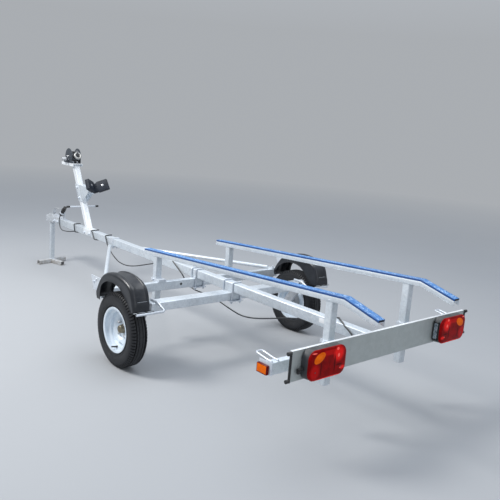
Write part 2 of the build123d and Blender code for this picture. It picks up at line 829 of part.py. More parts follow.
# Ring at the strap's end, leaning, and the stitched tail that holds it
strap_y = strap_low_y + strap_width / 2
eye_inner = ring_minor + 0.9
eye_z = winch_axis_z + strap_radius + seat_gap + strap_thick - eye_inner - strap_thick
eye_x = winch_x - winch_side_radius
lean_way = Vector(-sin(radians(ring_lean)), 0, -cos(radians(ring_lean)))
ring_centre = Vector(*at(eye_x, strap_y, eye_z)) + lean_way * ring_major
with BuildPart() as winch_ring:
    with BuildSketch(Plane(origin=ring_centre + lean_way * ring_major, x_dir=lean_way, z_dir=(0, 1, 0))) as wire:
        Circle(ring_minor)
    revolve(wire.sketch, axis=Axis(ring_centre, lean_way.cross(Vector(0, 1, 0))))
write(winch_ring, "winch_ring")
with BuildPart() as strap_end:
    with BuildSketch(side_plane(strap_y)) as eye:
        with Locations((eye_x, eye_z)):
            Circle(eye_inner + strap_thick)
            Circle(eye_inner, mode=Mode.SUBTRACT)
    extrude(eye.sketch, amount=ring_eye / 2, both=True)
    tail_low = eye_z + eye_inner
    tail_heights = (tail_low, tail_low + strap_thick)
    block((eye_x, eye_x + 24), (strap_y - ring_eye / 2, strap_y + ring_eye / 2), tail_heights)
    block((eye_x + 22, winch_x), (strap_y - strap_tail / 2, strap_y + strap_tail / 2), tail_heights)
write(strap_end, "strap_end")

# Bow stop bracket: cheeks on the post that meet in a tip

post_face = winch_post_size / 2 / cos(radians(post_lean))
with BuildPart() as bow_bracket:
    cheek_in = winch_post_size / 2 + seat_gap
    for sign in (1, -1):
        y_inner = cheek_in if sign > 0 else -cheek_in
        with BuildSketch(side_plane(y_inner)) as cheek:
            with BuildLine():
                Polyline(
                    (winch_post_axis(bow_bracket_low) + post_face - 12, bow_bracket_low),
                    (winch_post_axis(bow_bracket_high) + post_face - 12, bow_bracket_high),
                    (winch_post_axis(bow_bracket_high) - post_face, bow_bracket_high),
                    (bow_tip_x, bow_tip_z + 30),
                    (bow_tip_x, bow_tip_z - 20),
                    (winch_post_axis(bow_bracket_low) - post_face, bow_bracket_low),
                    close=True,
                )
            make_face()
        extrude(cheek.sketch, amount=-sign * bow_bracket_wall)
    web_half = cheek_in + bow_bracket_wall
    block((bow_tip_x, bow_tip_x + 6), (-web_half, web_half), (bow_tip_z - 20, bow_tip_z + 30))
write(bow_bracket, "bow_bracket")

# Bow stop: two rubber plates in a V that opens to the rear, on folded backing plates, leaning with the post

bow_back = Vector(-cos(radians(post_lean)), 0, sin(radians(post_lean)))
bow_up = Vector(sin(radians(post_lean)), 0, cos(radians(post_lean)))
bow_vertex = Vector(*at(bow_vertex_x, 0, bow_vertex_z))
bow_length = hypot(bow_edge_back, bow_edge_y, bow_edge_rise)
bow_plates = (
    ("bow_block", 0, bow_thick, bow_split, bow_length, bow_height),
    ("bow_backing", -bow_backing_thick - seat_gap, bow_backing_thick, 3, bow_length - 18, bow_height * 0.6),
)
for name, near, thick, first, last, height in bow_plates:
    with BuildPart() as v_plates:
        for sign in (1, -1):
            side_way = Vector(0, sign, 0)
            outward = (bow_back * bow_edge_back + side_way * bow_edge_y + bow_up * bow_edge_rise).normalized()
            facing = (bow_back * bow_edge_y - side_way * bow_edge_back).normalized()
            middle = bow_vertex + outward * (first + last) / 2 + facing * near
            with BuildSketch(Plane(origin=middle, x_dir=outward, z_dir=facing)) as plate:
                RectangleRounded(last - first, height, 6)
            extrude(plate.sketch, amount=thick)
        if name == "bow_backing":
            tip_low = bow_tip_z
            tip_high = bow_tip_z + 28
            with BuildSketch(side_plane()) as tongue:
                with BuildLine():
                    Polyline(
                        (bow_vertex_x + (tip_low - bow_vertex_z) * lean + 4, tip_low),
                        (bow_vertex_x + (tip_high - bow_vertex_z) * lean + 4, tip_high),
                        (bow_tip_x - seat_gap, tip_high),
                        (bow_tip_x - seat_gap, tip_low),
                        close=True,
                    )
                make_face()
            extrude(tongue.sketch, amount=14, both=True)
    write(v_plates, name)

# Cross handle: a rod across the post's front face with a cap on each end

handle_x = winch_post_axis(handle_z) + post_face + (handle_radius + seat_gap) / cos(radians(post_lean))
with BuildPart() as cross_handle:
    rod((handle_x, -handle_half + 3, handle_z), (handle_x, handle_half - 3, handle_z), handle_radius)
write(cross_handle, "cross_handle")
with BuildPart() as handle_caps:
    for sign in (1, -1):
        tip = sign * handle_half
        inner_tip = tip - sign * handle_cap
        rod((handle_x, tip, handle_z), (handle_x, inner_tip, handle_z), handle_radius + handle_cap_wall)
        rod(
            (handle_x, tip - sign * 3, handle_z),
            (handle_x, tip - sign * (handle_cap + 1), handle_z),
            handle_radius + running_gap, Mode.SUBTRACT,
        )
write(handle_caps, "handle_caps")

# Coupling: channel over the spine that swells to a hump and ends in the ball socket

coupling_half = spine_size / 2 + seat_gap + coupling_wall
socket_outer = ball_radius + coupling_wall + 3
with BuildPart() as coupling:
    with BuildSketch(side_plane()) as profile:
        with BuildLine():
            Polyline(
                (coupling_rear, spine_low + 8),
                (coupling_rear, spine_top + seat_gap + coupling_wall),
                (nose_reach - hump_foot_back, spine_top + seat_gap + coupling_wall),
                (nose_reach - hump_rear_back, coupling_hump),
                (nose_reach - hump_front_back, coupling_hump),
                (ball_x + 10, ball_z + socket_outer),
                (nose_reach - 6, ball_z + 12),
                (nose_reach, ball_z - 4),
                (nose_reach, coupling_low),
                (nose_reach - belly_back, coupling_low),
                (nose_reach - belly_rear_back, spine_low + 8),
                close=True,
            )
        make_face()
    extrude(profile.sketch, amount=60, both=True)
    with BuildSketch(Plane(origin=at(0, 0, coupling_low - 5), x_dir=(1, 0, 0), z_dir=(0, 0, 1))) as plan:
        with BuildLine():
            Polyline(
                (coupling_rear - 5, -coupling_half),
                (nose_reach - throat_back, -coupling_half),
                (nose_reach - neck_back, -neck_half),
                (nose_reach - socket_flat_back, -socket_half),
                (nose_reach - socket_flat_back, socket_half),
                (nose_reach - neck_back, neck_half),
                (nose_reach - throat_back, coupling_half),
                (coupling_rear - 5, coupling_half),
                close=True,
            )
        make_face()
        with Locations((ball_x, 0)):
            Circle(nose_reach - ball_x)
    extrude(plan.sketch, amount=120, mode=Mode.INTERSECT)
    block(
        (coupling_rear - 10, spine_front + seat_gap),
        (-spine_size / 2 - seat_gap, spine_size / 2 + seat_gap),
        (coupling_low - 10, spine_top + seat_gap),
        Mode.SUBTRACT,
    )
    rod((ball_x, 0, coupling_low - 2), (ball_x, 0, ball_z), ball_radius, Mode.SUBTRACT)
    with Locations(at(ball_x, 0, ball_z)):
        Sphere(ball_radius, mode=Mode.SUBTRACT)
    cavity_xs = (spine_front - 1, nose_reach - cavity_front_back)
    block(cavity_xs, (-22, 22), (coupling_low - 1, spine_top - 2), Mode.SUBTRACT)
    rod((stand_x, 0, stand_top + stand_cap + seat_gap), (stand_x, 0, coupling_low + 3), stand_boss_radius)
    rod(
        (stand_x, 0, stand_top),
        (stand_x, 0, stand_top + stand_cap + stand_pin_height + 3),
        stand_pin_radius + running_gap, Mode.SUBTRACT,
    )
write(coupling, "coupling")

# Coupling lever: a bent strip over the hump
with BuildPart() as lever:
    with BuildSketch(side_plane()) as lever_profile:
        with BuildLine():
            lever_foot = coupling_hump + seat_gap + lever_thick / 2
            FilletPolyline(
                (nose_reach - lever_foot_back, lever_foot),
                (nose_reach - lever_foot_back - lever_seat, lever_foot),
                (nose_reach - lever_knee_back, coupling_hump + 42),
                (nose_reach - belly_back, coupling_hump + 62),
                (nose_reach - lever_end_back, coupling_hump + 66),
                radius=8,
            )
        trace(line_width=lever_thick)
    extrude(lever_profile.sketch, amount=lever_width / 2, both=True)
write(lever, "coupling_lever")

# Parking stand: a post that swivels on its pin under the coupling, and a T-shaped foot

with BuildPart() as stand_post:
    hollow_bar(
        Plane(origin=at(stand_x, 0, stand_size + seat_gap)),
        stand_size, stand_size, tube_wall, stand_top - stand_size - seat_gap,
    )
    block((stand_x - 24, stand_x + 24), (-24, 24), (stand_top, stand_top + stand_cap))
    rod((stand_x, 0, stand_top), (stand_x, 0, stand_top + stand_cap + stand_pin_height), stand_pin_radius)
write(stand_post, "stand_post")

turn = Rotation(0, 0, foot_yaw)
foot_centre = Location(at(stand_x, 0, stand_size / 2)) * turn
with BuildPart() as foot:
    with BuildSketch(Plane(foot_centre * Location((0, -foot_half, 0), (-90, 0, 0)))) as section:
        RectangleRounded(stand_size, stand_size, 2 * tube_wall)
        RectangleRounded(stand_size - 2 * tube_wall, stand_size - 2 * tube_wall, tube_wall, mode=Mode.SUBTRACT)
    extrude(section.sketch, amount=2 * foot_half)
    with BuildSketch(Plane(foot_centre * Location((-stand_size / 2, 0, 0), (0, -90, 0)))) as arm_section:
        RectangleRounded(stand_size, stand_size, 2 * tube_wall)
        RectangleRounded(stand_size - 2 * tube_wall, stand_size - 2 * tube_wall, tube_wall, mode=Mode.SUBTRACT)
    extrude(arm_section.sketch, amount=foot_arm - stand_size / 2)
write(foot, "stand_foot")

# Light board: folded sheet across the rear, on brackets from the crossmember

with BuildPart() as light_board:
    block((board_x, board_x + board_wall), (-board_half, board_half), (board_low, board_high))
    block((board_x, board_x + board_lip), (-board_half, board_half), (board_high - board_wall, board_high))
    block((board_x, board_x + board_lip), (-board_half, board_half), (board_low, board_low + board_wall))
write(light_board, "light_board")

with BuildPart() as board_brackets:
    for sign in (1, -1):
        ys = (sign * bracket_y - bracket_width / 2, sign * bracket_y + bracket_width / 2)
        front = rear_beam["rear"] - seat_gap
        back = board_x + board_wall + seat_gap
        block((back, front), ys, (bracket_z, bracket_z + bracket_wall))
        block((back, back + bracket_wall), ys, (bracket_z - bracket_drop, bracket_z + 60))
        block((front - bracket_wall, front), ys, (bracket_z - bracket_drop, rear_beam["top"] - bracket_wall))
write(board_brackets, "board_brackets")

# Rear lamps: a black body, a red lens and an amber corner on each side

body_rear = board_x - seat_gap - lamp_body
lens_front = body_rear - seat_gap
lamp_height = lamp_high - lamp_low


def lamp_plane(x, y, z):
    """An upright plane across the trailer that faces the rear, with the sketch's x axis to the left."""
    return Plane(origin=at(x, y, z), x_dir=(0, 1, 0), z_dir=(-1, 0, 0))


def amber_shape(radius):
    """The slanting oval of the amber part, on both lamps."""
    for sign in (1, -1):
        with BuildSketch(lamp_plane(lens_front, 0, 0)) as oval:
            with Locations(*[(sign * y, -z) for y, z in amber_spots]):
                Circle(radius)
            make_hull()
        yield oval.sketch


lamp_y = (lamp_inner + lamp_outer) / 2
lamp_z = (lamp_low + lamp_high) / 2
with BuildPart() as lamp_bodies:
    for sign in (1, -1):
        with BuildSketch(lamp_plane(board_x - seat_gap, sign * lamp_y, lamp_z)) as body_face:
            RectangleRounded(lamp_width - 2 * lamp_inset, lamp_height - 2 * lamp_inset, lamp_corner - lamp_inset)
        extrude(body_face.sketch, amount=lamp_body)
write(lamp_bodies, "lamp_bodies")
with BuildPart() as lenses:
    for sign in (1, -1):
        with BuildSketch(lamp_plane(lens_front, sign * lamp_y, lamp_z)) as lens_face:
            RectangleRounded(lamp_width, lamp_height, lamp_corner)
        extrude(lens_face.sketch, amount=lamp_lens)
    fillet(lenses.faces().group_by(Axis.X)[0].edges(), radius=lens_round)
    for oval in amber_shape(amber_radius):
        extrude(oval, amount=lamp_lens + 1, mode=Mode.SUBTRACT)
write(lenses, "lamp_lenses")
with BuildPart() as ambers:
    for oval in amber_shape(amber_radius - seat_gap):
        extrude(oval, amount=lamp_lens + 1)
    fillet(ambers.faces().group_by(Axis.X)[0].edges(), radius=2)
write(ambers, "lamp_ambers")

# Black end clips of the light board, with a knob at the top and bottom
with BuildPart() as clips:
    for sign in (1, -1):
        y = sign * (board_half + clip_radius + seat_gap)
        rod((board_x, y, board_low), (board_x, y, board_high), clip_radius)
        for z in (board_low + 8, board_high - 8):
            rod((board_x, y, z), (board_x, y + sign * 20, z), clip_knob)
write(clips, "board_clips")

# Side markers on plates at the rear crossmember's ends

plate_y = rear_beam["half"] + seat_gap
with BuildPart() as end_plates:
    for sign in (1, -1):
        block(
            (rear_beam["rear"], marker_front),
            (sign * plate_y, sign * (plate_y + end_plate)),
            (marker_low, rear_beam["top"]),
        )
write(end_plates, "marker_plates")
with BuildPart() as markers:
    for sign in (1, -1):
        near = plate_y + end_plate + seat_gap
        block((marker_rear, marker_front), (sign * near, sign * (near + marker_thick)), (marker_low, marker_high))
write(markers, "side_markers")

# Lashing loops: bent rod welded to the rear crossmember's top at each end

with BuildPart() as loops:
    for sign in (1, -1):
        low = rear_beam["top"] + loop_radius + seat_gap
        path_points = (
            at(rear_beam["rear"] + 6, sign * (loop_y + loop_half), low),
            at(spine_rear, sign * (loop_y + loop_half), low + 1),
            at(loop_front, sign * (loop_y + loop_half), low + 12),
            at(loop_front, sign * (loop_y - loop_half), low + 12),
            at(spine_rear, sign * (loop_y - loop_half), low + 1),
            at(rear_beam["rear"] + 6, sign * (loop_y - loop_half), low),
        )
        with BuildLine() as loop_path:
            FilletPolyline(*path_points, radius=12)
        with BuildSketch(Plane(origin=path_points[0], z_dir=loop_path.wire() % 0)) as loop_wire:
            Circle(loop_radius)
        sweep(loop_wire.sketch, path=loop_path.wire())
write(loops, "lashing_loops")

# Beam clamps: U-bolts over the spine either side of each beam, and a plate under the beam

with BuildPart() as u_bolts:
    for beam in (front_beam, axle_beam):
        u_low = beam["top"] - beam["height"] - clamp_plate - u_bolt_drop
        for x in (beam["rear"] - u_bolt_radius - 1, beam["rear"] + beam["depth"] + u_bolt_radius + 1):
            y = spine_size / 2 + u_bolt_radius + seat_gap
            high = spine_top + u_bolt_radius + seat_gap
            points = (at(x, y, u_low), at(x, y, high), at(x, -y, high), at(x, -y, u_low))
            with BuildLine() as u_path:
                FilletPolyline(*points, radius=9)
            with BuildSketch(Plane(origin=points[0])) as u_wire:
                Circle(u_bolt_radius)
            sweep(u_wire.sketch, path=u_path.wire())
write(u_bolts, "u_bolts")
with BuildPart() as clamp_plates:
    for beam in (front_beam, axle_beam):
        high = beam["top"] - beam["height"] - seat_gap
        reach = 2 * u_bolt_radius + 10
        xs = (beam["rear"] - reach, beam["rear"] + beam["depth"] + reach)
        block(xs, (-50, 50), (high - clamp_plate, high))
        for x in (beam["rear"] - u_bolt_radius - 1, beam["rear"] + beam["depth"] + u_bolt_radius + 1):
            for sign in (1, -1):
                y = sign * (spine_size / 2 + u_bolt_radius + seat_gap)
                rod((x, y, high - clamp_plate - 1), (x, y, high + 1), u_bolt_radius + seat_gap, Mode.SUBTRACT)
write(clamp_plates, "clamp_plates")

# Plug of the wiring, parked in a strip bracket on the spine

plug_x = nose_reach - plug_back
plug_low = Vector(*at(plug_x, plug_y, spine_top + plug_rise))
plug_high = Vector(*at(plug_x - 80, plug_y, spine_top + plug_rise + 74))
plug_way = (plug_high - plug_low).normalized()
plug_length = (plug_high - plug_low).length
with BuildPart() as plug:
    with BuildSketch(Plane(origin=plug_low, z_dir=plug_way)) as barrel:
        Circle(plug_radius)
    extrude(barrel.sketch, amount=plug_length * 0.7)
    with BuildSketch(Plane(origin=plug_low + plug_way * plug_length * 0.7, z_dir=plug_way)) as nose:
        Circle(plug_radius - 3)
    extrude(nose.sketch, amount=plug_length * 0.3)
    with BuildSketch(Plane(origin=plug_low, z_dir=-plug_way)) as root:
        Circle(cable_radius + 5)
    with BuildSketch(Plane(origin=plug_low - plug_way * 26, z_dir=-plug_way)) as root_end:
        Circle(cable_radius + 1.5)
    loft([root.sketch.face(), root_end.sketch.face()])
write(plug, "plug")
with BuildPart() as plug_holder:
    with BuildSketch(Plane(origin=plug_low + plug_way * 20, z_dir=plug_way)) as collar:
        Circle(plug_radius + seat_gap + 4)
        Circle(plug_radius + seat_gap, mode=Mode.SUBTRACT)
    extrude(collar.sketch, amount=16)
    block((plug_x - 22, plug_x + 4), (10, 18), (spine_top + seat_gap, spine_top + plug_rise + 20))
    block((plug_x - 28, plug_x + 10), (-20, 18), (spine_top + seat_gap, spine_top + seat_gap + 4))
write(plug_holder, "plug_holder")

# Cable route: x, y, z from the wheel centres, and whether it is pulled round the spine there

under = spine_mid - wrap_out
over = spine_mid + wrap_out
cable_end = plug_low - plug_way * 26
cable_route = (
    (cable_end.X - axle_x, 40, cable_end.Z, False),
    (cable_end.X - axle_x - plug_way.X * 32, 40, cable_end.Z - plug_way.Z * 32, False),
    (2464, 42, 436, False),
    (2440, 44, 402, False),
    (2396, 42, 386, False),
    (2330, 26, 386, False),
    (2262, -6, 396, False),
    (2206, -wrap_out, under, True),
    (2182, -wrap_out, over, True),
    (2166, wrap_out, over, True),
    (2146, wrap_out, under, True),
    (2060, -wrap_out - 8, under, True),
    (1826, -wrap_out - 8, over, True),
    (1815, wrap_out, over, True),
    (1757, wrap_out, under, True),
    (1690, -wrap_out, under, True),
    (1574, -wrap_out, over, True),
    (1560, wrap_out, over, True),
    (1518, wrap_out, under, True),
    (1462, 32, 366, False),
    (1400, 31, 332, False),
    (1320, 32, 307, False),
    (1225, 33, 301, False),
    (1123, 32, 313, False),
    (1020, 31, 338, False),
    (911, 28, 371, False),
    (820, 12, 399, False),
    (735, -wrap_out, under, True),
    (600, -wrap_out, over, True),
    (532, wrap_out, over, True),
    (400, wrap_out, under, True),
    (352, 18, 352, False),
    (290, 4, 322, False),
    (210, -2, 321, False),
    (120, 1, 329, False),
    (40, 2, 322, False),
    (-50, 0, 303, False),
    (-140, -1, 288, False),
    (-235, 1, 278, False),
    (-330, 0, 288, False),
    (-430, -2, 312, False),
    (-530, 0, 342, False),
    (-640, -6, 376, False),
    (-750, -16, 400, False),
    (-850, -wrap_out, under, True),
    (-960, -wrap_out, over - 12, True),
    (-1100, -wrap_out, over - 14, True),
    (-1190, -wrap_out, under, True),
    (-1262, -20, 394, False),
    (-1340, -6, 392, False),
    (board_x + board_wall + seat_gap + 26, 0, 436, False),
    (board_x + board_wall + seat_gap, 0, 436, False),
)
spots = [Vector(*at(x, y, z)) for x, y, z, _ in cable_route]
radii = []
for before, here, after, row in zip(spots, spots[1:], spots[2:], cable_route[1:]):
    turn_angle = (here - before).get_angle(after - here)
    shorter = min((here - before).length, (after - here).length)
    radius = 0.45 * shorter / tan(radians(turn_angle / 2))
    radii.append(min(radius, wrap_radius) if row[3] else radius)
with BuildPart() as cable:
    with BuildLine() as cable_path:
        FilletPolyline(*spots, radius=radii)
    with BuildSketch(Plane(origin=spots[0], z_dir=spots[1] - spots[0])) as cable_section:
        Circle(cable_radius)
    sweep(cable_section.sketch, path=cable_path.wire())
print("cable length", round(cable_path.wire().length))
write(cable, "cable")
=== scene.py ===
from math import atan2, cos, pi, radians, sin, tan

import bmesh
import bpy
from mathutils import Matrix, Vector


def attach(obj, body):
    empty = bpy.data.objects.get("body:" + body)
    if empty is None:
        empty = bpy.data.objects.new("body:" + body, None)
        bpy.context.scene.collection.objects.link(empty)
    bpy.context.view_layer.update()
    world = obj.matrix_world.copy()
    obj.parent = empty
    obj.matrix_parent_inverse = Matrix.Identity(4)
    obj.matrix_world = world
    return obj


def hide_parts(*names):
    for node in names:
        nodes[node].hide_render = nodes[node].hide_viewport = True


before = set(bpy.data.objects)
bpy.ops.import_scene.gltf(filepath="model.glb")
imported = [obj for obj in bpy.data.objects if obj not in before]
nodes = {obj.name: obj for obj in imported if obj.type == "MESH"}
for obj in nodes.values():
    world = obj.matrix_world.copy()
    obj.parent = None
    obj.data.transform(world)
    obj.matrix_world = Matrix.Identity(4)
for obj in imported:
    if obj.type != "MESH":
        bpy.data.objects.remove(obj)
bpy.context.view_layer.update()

# Places are in millimetres from the wheel centres and the ground, as in the part's source. AXLE_X, where the
# wheel centres stand in the part's frame, is in metres, and so are the measures in materials.
AXLE_X = -0.631
WHEEL_Y, WHEEL_Z = 737, 230
DRUM_X, DRUM_Z = 2290, 1099
# The winch post leans forward from its foot, and the bow stop with it
LEAN, FOOT_X, FOOT_Z = radians(29.1), 1932, 480
SIDES = (("left", 1), ("right", -1))


def at(x, y, z):
    """A place counted from the wheel centres in millimetres, in metres in the part's frame."""
    return Vector((AXLE_X + x / 1000, y / 1000, z / 1000))


def post_x(z):
    """The x of the leaning winch post's middle at a height."""
    return FOOT_X + (z - FOOT_Z) * tan(LEAN)


def new_object(name, data):
    """An object with this data at the scene's origin."""
    thing = bpy.data.objects.new(name, data)
    bpy.context.scene.collection.objects.link(thing)
    return thing


def modify(thing, name, kind, **settings):
    """A modifier with these settings, added to an object."""
    modifier = thing.modifiers.new(name, kind)
    for label, value in settings.items():
        setattr(modifier, label, value)
    return modifier


def cover(mesh, finish):
    """A mesh shaded smooth, with this finish alone."""
    mesh.materials.clear()
    mesh.materials.append(finish.material)
    mesh.polygons.foreach_set("use_smooth", [True] * len(mesh.polygons))


# Camera

camera = new_object("camera", bpy.data.cameras.new("camera"))
bpy.context.scene.camera = camera
camera.data.lens = 44.88
camera.data.sensor_width = 36
yaw, pitch, roll = radians(41.427), radians(10.969), radians(-4.507)
ahead = Vector((cos(yaw) * cos(pitch), -sin(yaw) * cos(pitch), -sin(pitch)))
level_right = Vector((-sin(yaw), -cos(yaw), 0))
level_down = ahead.cross(level_right)
right = cos(roll) * level_right + sin(roll) * level_down
down = cos(roll) * level_down - sin(roll) * level_right
turned_view = Matrix((right, -down, -ahead)).transposed().to_4x4()
camera.matrix_world = Matrix.Translation(at(-3181.2, 2563.6, 1472.4)) @ turned_view

# Nodes


class Value:
    """A node's output that takes sums: each operator adds its Math node."""

    def __init__(self, graph, socket):
        self.graph = graph
        self.socket = socket

    def maths(self, operation, *terms, clamp=False):
        return self.graph.node(
            "ShaderNodeMath", {"operation": operation, "use_clamp": clamp}, dict(enumerate(terms))
        )

    def __add__(self, other):
        return self.maths("ADD", self, other)

    __radd__ = __add__

    def __sub__(self, other):
        return self.maths("SUBTRACT", self, other)

    def __rsub__(self, other):
        return self.maths("SUBTRACT", other, self)

    def __mul__(self, other):
        return self.maths("MULTIPLY", self, other)

    __rmul__ = __mul__

    def __truediv__(self, other):
        return self.maths("DIVIDE", self, other)

    def __pow__(self, other):
        return self.maths("POWER", self, other)

    def ramp(self, start, end):
        """0 below start and 1 above end, straight in between."""
        return self.maths("MULTIPLY", self - start, 1 / (end - start), clamp=True)

    def wave(self, pitch):
        """From -1 to 1 and back each time that the value grows by the pitch."""
        return self.maths("SINE", self * (2 * pi / pitch))

    def size(self):
        return self.maths("ABSOLUTE", self)


def paint(colour):
    """Three numbers as the four a colour socket takes."""
    return colour if isinstance(colour, Value) else (*colour, 1.0)


class Graph:
    """A node tree whose nodes are made and linked in one call."""

    def __init__(self, tree):
        self.tree = tree

    def node(self, kind, settings=None, inputs=None, output=0):
        node = self.tree.nodes.new(kind)
        for name, value in (settings or {}).items():
            setattr(node, name, value)
        for name, value in (inputs or {}).items():
            self.feed(node.inputs[name], value)
        return Value(self, node.outputs[output])

    def feed(self, socket, value):
        """A value or a list of values linked to a socket, or a constant set on it."""
        if isinstance(value, Value):
            self.tree.links.new(value.socket, socket)
        elif isinstance(value, list):
            for one in value:
                self.feed(socket, one)
        else:
            socket.default_value = value

    def number(self, vector, axis):
        """One of a vector's three numbers."""
        return self.node("ShaderNodeSeparateXYZ", {}, {0: vector}, output=axis)

    def mix(self, first, second, share):
        """Colours mixed by a share from 0 to 1."""
        inputs = {0: share, 6: paint(first), 7: paint(second)}
        return self.node("ShaderNodeMix", {"data_type": "RGBA"}, inputs, output=2)

    def layers(self, body, *layers):
        """A colour under layers of other colours, each with the share that it covers."""
        for colour, share in layers:
            body = self.mix(body, colour, share)
        return body


class Finish(Graph):
    """A procedural material. Constants go on the shader's own sockets."""

    def __init__(self, name, **constants):
        self.material = bpy.data.materials.new(name)
        self.material.use_nodes = True
        super().__init__(self.material.node_tree)
        self.shader = self.tree.nodes["Principled BSDF"]
        self.set(**constants)
        self.place = self.node("ShaderNodeTexCoord", output="Object")
        self.axes = [self.number(self.place, axis) for axis in range(3)]

    def noise(self, scale, detail=4.0, roughness=0.55, stretch=None, distortion=0.0):
        where = self.place
        if stretch:
            where = self.node("ShaderNodeVectorMath", {"operation": "MULTIPLY"}, {0: where, 1: stretch})
        return self.node("ShaderNodeTexNoise", {}, {
            "Vector": where, "Scale": scale, "Detail": detail, "Roughness": roughness,
            "Distortion": distortion,
        })

    def cells(self, scale):
        """A random number for each patch, as on zinc spangle."""
        patch = self.node("ShaderNodeTexVoronoi", {}, {"Vector": self.place, "Scale": scale}, output="Color")
        return self.node("ShaderNodeSeparateColor", {}, {0: patch})

    def facing(self, axis):
        """How far a face looks along an axis, from -1 to 1."""
        return self.number(self.node("ShaderNodeNewGeometry", output="Normal"), axis)

    def facing_up(self):
        """1 on faces that look up and 0 on upright and lower ones."""
        return self.facing(2).ramp(0.35, 0.9)

    def set(self, **sockets):
        """Values or constants for the shader's sockets."""
        for name, value in sockets.items():
            self.feed(self.shader.inputs[name.replace("_", " ")], value)

    def bump(self, height, distance, strength):
        normal = self.node(
            "ShaderNodeBump", {}, {"Height": height, "Distance": distance, "Strength": strength}
        )
        self.set(Normal=normal)


# Finishes


def zinc_coat(name, colour, shade, metal, rough, spangle, dirt, low_dust=0.0, wear=1.0, crest=0.0):
    """Hot-dip zinc: spangle patches, pale oxide clouds, run marks and dirt where water lies, and a painted
    highlight on upward faces by the crest share.
    """
    finish = Finish(name)
    patches = finish.cells(spangle)
    fine = finish.cells(spangle * 2.6)
    clouds = finish.noise(7, 5)
    grain = finish.noise(420, 3)
    streaks = finish.noise(24, 4, stretch=(1.0, 1.0, 0.12))
    top = finish.facing_up()
    tone = patches * 0.35 + fine * 0.25 + clouds.ramp(0.3, 0.75) * 0.5
    bloom = clouds.ramp(0.5, 0.7) * streaks.ramp(0.4, 0.65) * (0.5 * wear)
    drips = finish.noise(60, 3, stretch=(1.0, 1.0, 0.05)).ramp(0.58, 0.7) * (1 - top) * (0.22 * wear)
    grime = finish.noise(16, 6, 0.65).ramp(0.5, 0.78) * dirt
    if low_dust:
        low = 1 - finish.axes[2].ramp(0.0, 0.16)
        grime = grime + low * finish.noise(30, 5, 0.7).ramp(0.25, 0.6) * low_dust
    specks = finish.noise(140, 4, 0.7).ramp(0.7, 0.78) * finish.noise(5, 3).ramp(0.56, 0.7)
    body = finish.layers(
        finish.mix(colour, shade, tone.ramp(0.1, 1.0)),
        ((0.86, 0.88, 0.9), bloom), ((0.36, 0.4, 0.45), drips), ((0.25, 0.21, 0.16), grime),
        # The last layer is a painted highlight: faces that look up are lightened towards white by the crest
        # share.
        ((0.24, 0.1, 0.045), specks * 0.55), ((0.88, 0.9, 0.92), top * crest),
    )
    finish.set(
        Base_Color=body,
        Metallic=(1 - grime * 0.8 - bloom * 0.5 - specks * 0.8).ramp(0, 1) * metal,
        Roughness=patches * 0.1 + clouds * 0.16 + (bloom + grime + drips) * 0.2 + (rough - 0.1),
    )
    finish.bump(patches * 0.15 + grain * 0.3 + clouds * 0.6, 0.0006, 0.5)
    return finish


def coated(
    name, colour, second, rough, grain_scale, grain_depth, clouds_scale=12, dust=0.0, metal=0.0, **constants
):
    """A plain coated or moulded surface: soft clouds of colour, fine grain, and dust on its upper faces."""
    finish = Finish(name, **constants)
    clouds = finish.noise(clouds_scale, 5)
    grain = finish.noise(grain_scale, 3)
    dusty = finish.facing_up() * clouds.ramp(0.3, 0.7) * dust
    body = finish.mix(colour, second, clouds.ramp(0.35, 0.7))
    finish.set(
        Base_Color=finish.mix(body, (0.42, 0.39, 0.34), dusty), Metallic=metal,
        Roughness=grain * 0.14 + clouds * 0.12 + dusty * 0.3 + (rough - 0.12),
    )
    finish.bump(grain, grain_depth, 0.6)
    return finish


def brushed(name, colour, second, rough, metal, dirt=0.2):
    """Plated or machined steel with fine scratches."""
    finish = Finish(name)
    clouds = finish.noise(20, 5, 0.6)
    scratches = finish.noise(500, 3, stretch=(1.0, 0.2, 1.0))
    grime = finish.noise(42, 6, 0.68).ramp(0.52, 0.8) * dirt
    body = finish.mix(colour, second, clouds.ramp(0.3, 0.7))
    finish.set(
        Base_Color=finish.mix(body, (0.16, 0.13, 0.1), grime), Metallic=(1 - grime).ramp(0, 1) * metal,
        Roughness=scratches * 0.16 + clouds * 0.1 + grime * 0.3 + (rough - 0.13),
    )
    finish.bump(scratches, 0.0003, 0.4)
    return finish


def tyre_rubber():
    """Black rubber: dusty on the crown and round the wall, with painted shade down in the grooves and fine
    ribs.
    """
    finish = Finish("tyre_rubber", Specular_IOR_Level=0.35)
    x, y, z = finish.axes
    radius = ((x - AXLE_X) ** 2 + (z - WHEEL_Z / 1000) ** 2) ** 0.5
    clouds = finish.noise(18, 6, 0.6)
    dust = finish.noise(60, 5, 0.7).ramp(0.42, 0.8)
    crown = radius.ramp(0.2245, 0.2285)
    wall_band = radius.ramp(0.15, 0.165) * (1 - radius.ramp(0.178, 0.2))
    from_middle = (y.size() - WHEEL_Y / 1000).size()
    # Painted shade: near black down in the middle grooves of the tread.
    sunk = (1 - radius.ramp(0.2215, 0.2275)) * (1 - from_middle.ramp(0.034, 0.04))
    body = finish.layers(
        finish.mix((0.0085, 0.0093, 0.0112), (0.018, 0.0195, 0.0235), clouds.ramp(0.3, 0.7)),
        ((0.07, 0.071, 0.074), crown * 0.2 + dust * crown * 0.35),
        ((0.1, 0.095, 0.088), wall_band * dust * 0.35 + dust * 0.08),
        ((0.003, 0.003, 0.0035), sunk),
    )
    ribs = radius.wave(0.0024166) * radius.ramp(0.15, 0.153) * (1 - radius.ramp(0.166, 0.169))
    finish.set(Base_Color=body, Roughness=clouds * 0.15 + dust * 0.15 + crown * 0.12 + 0.44)
    finish.bump(finish.noise(900, 2) * 0.35 + ribs * 0.25 + clouds * 0.4, 0.0005, 0.6)
    return finish


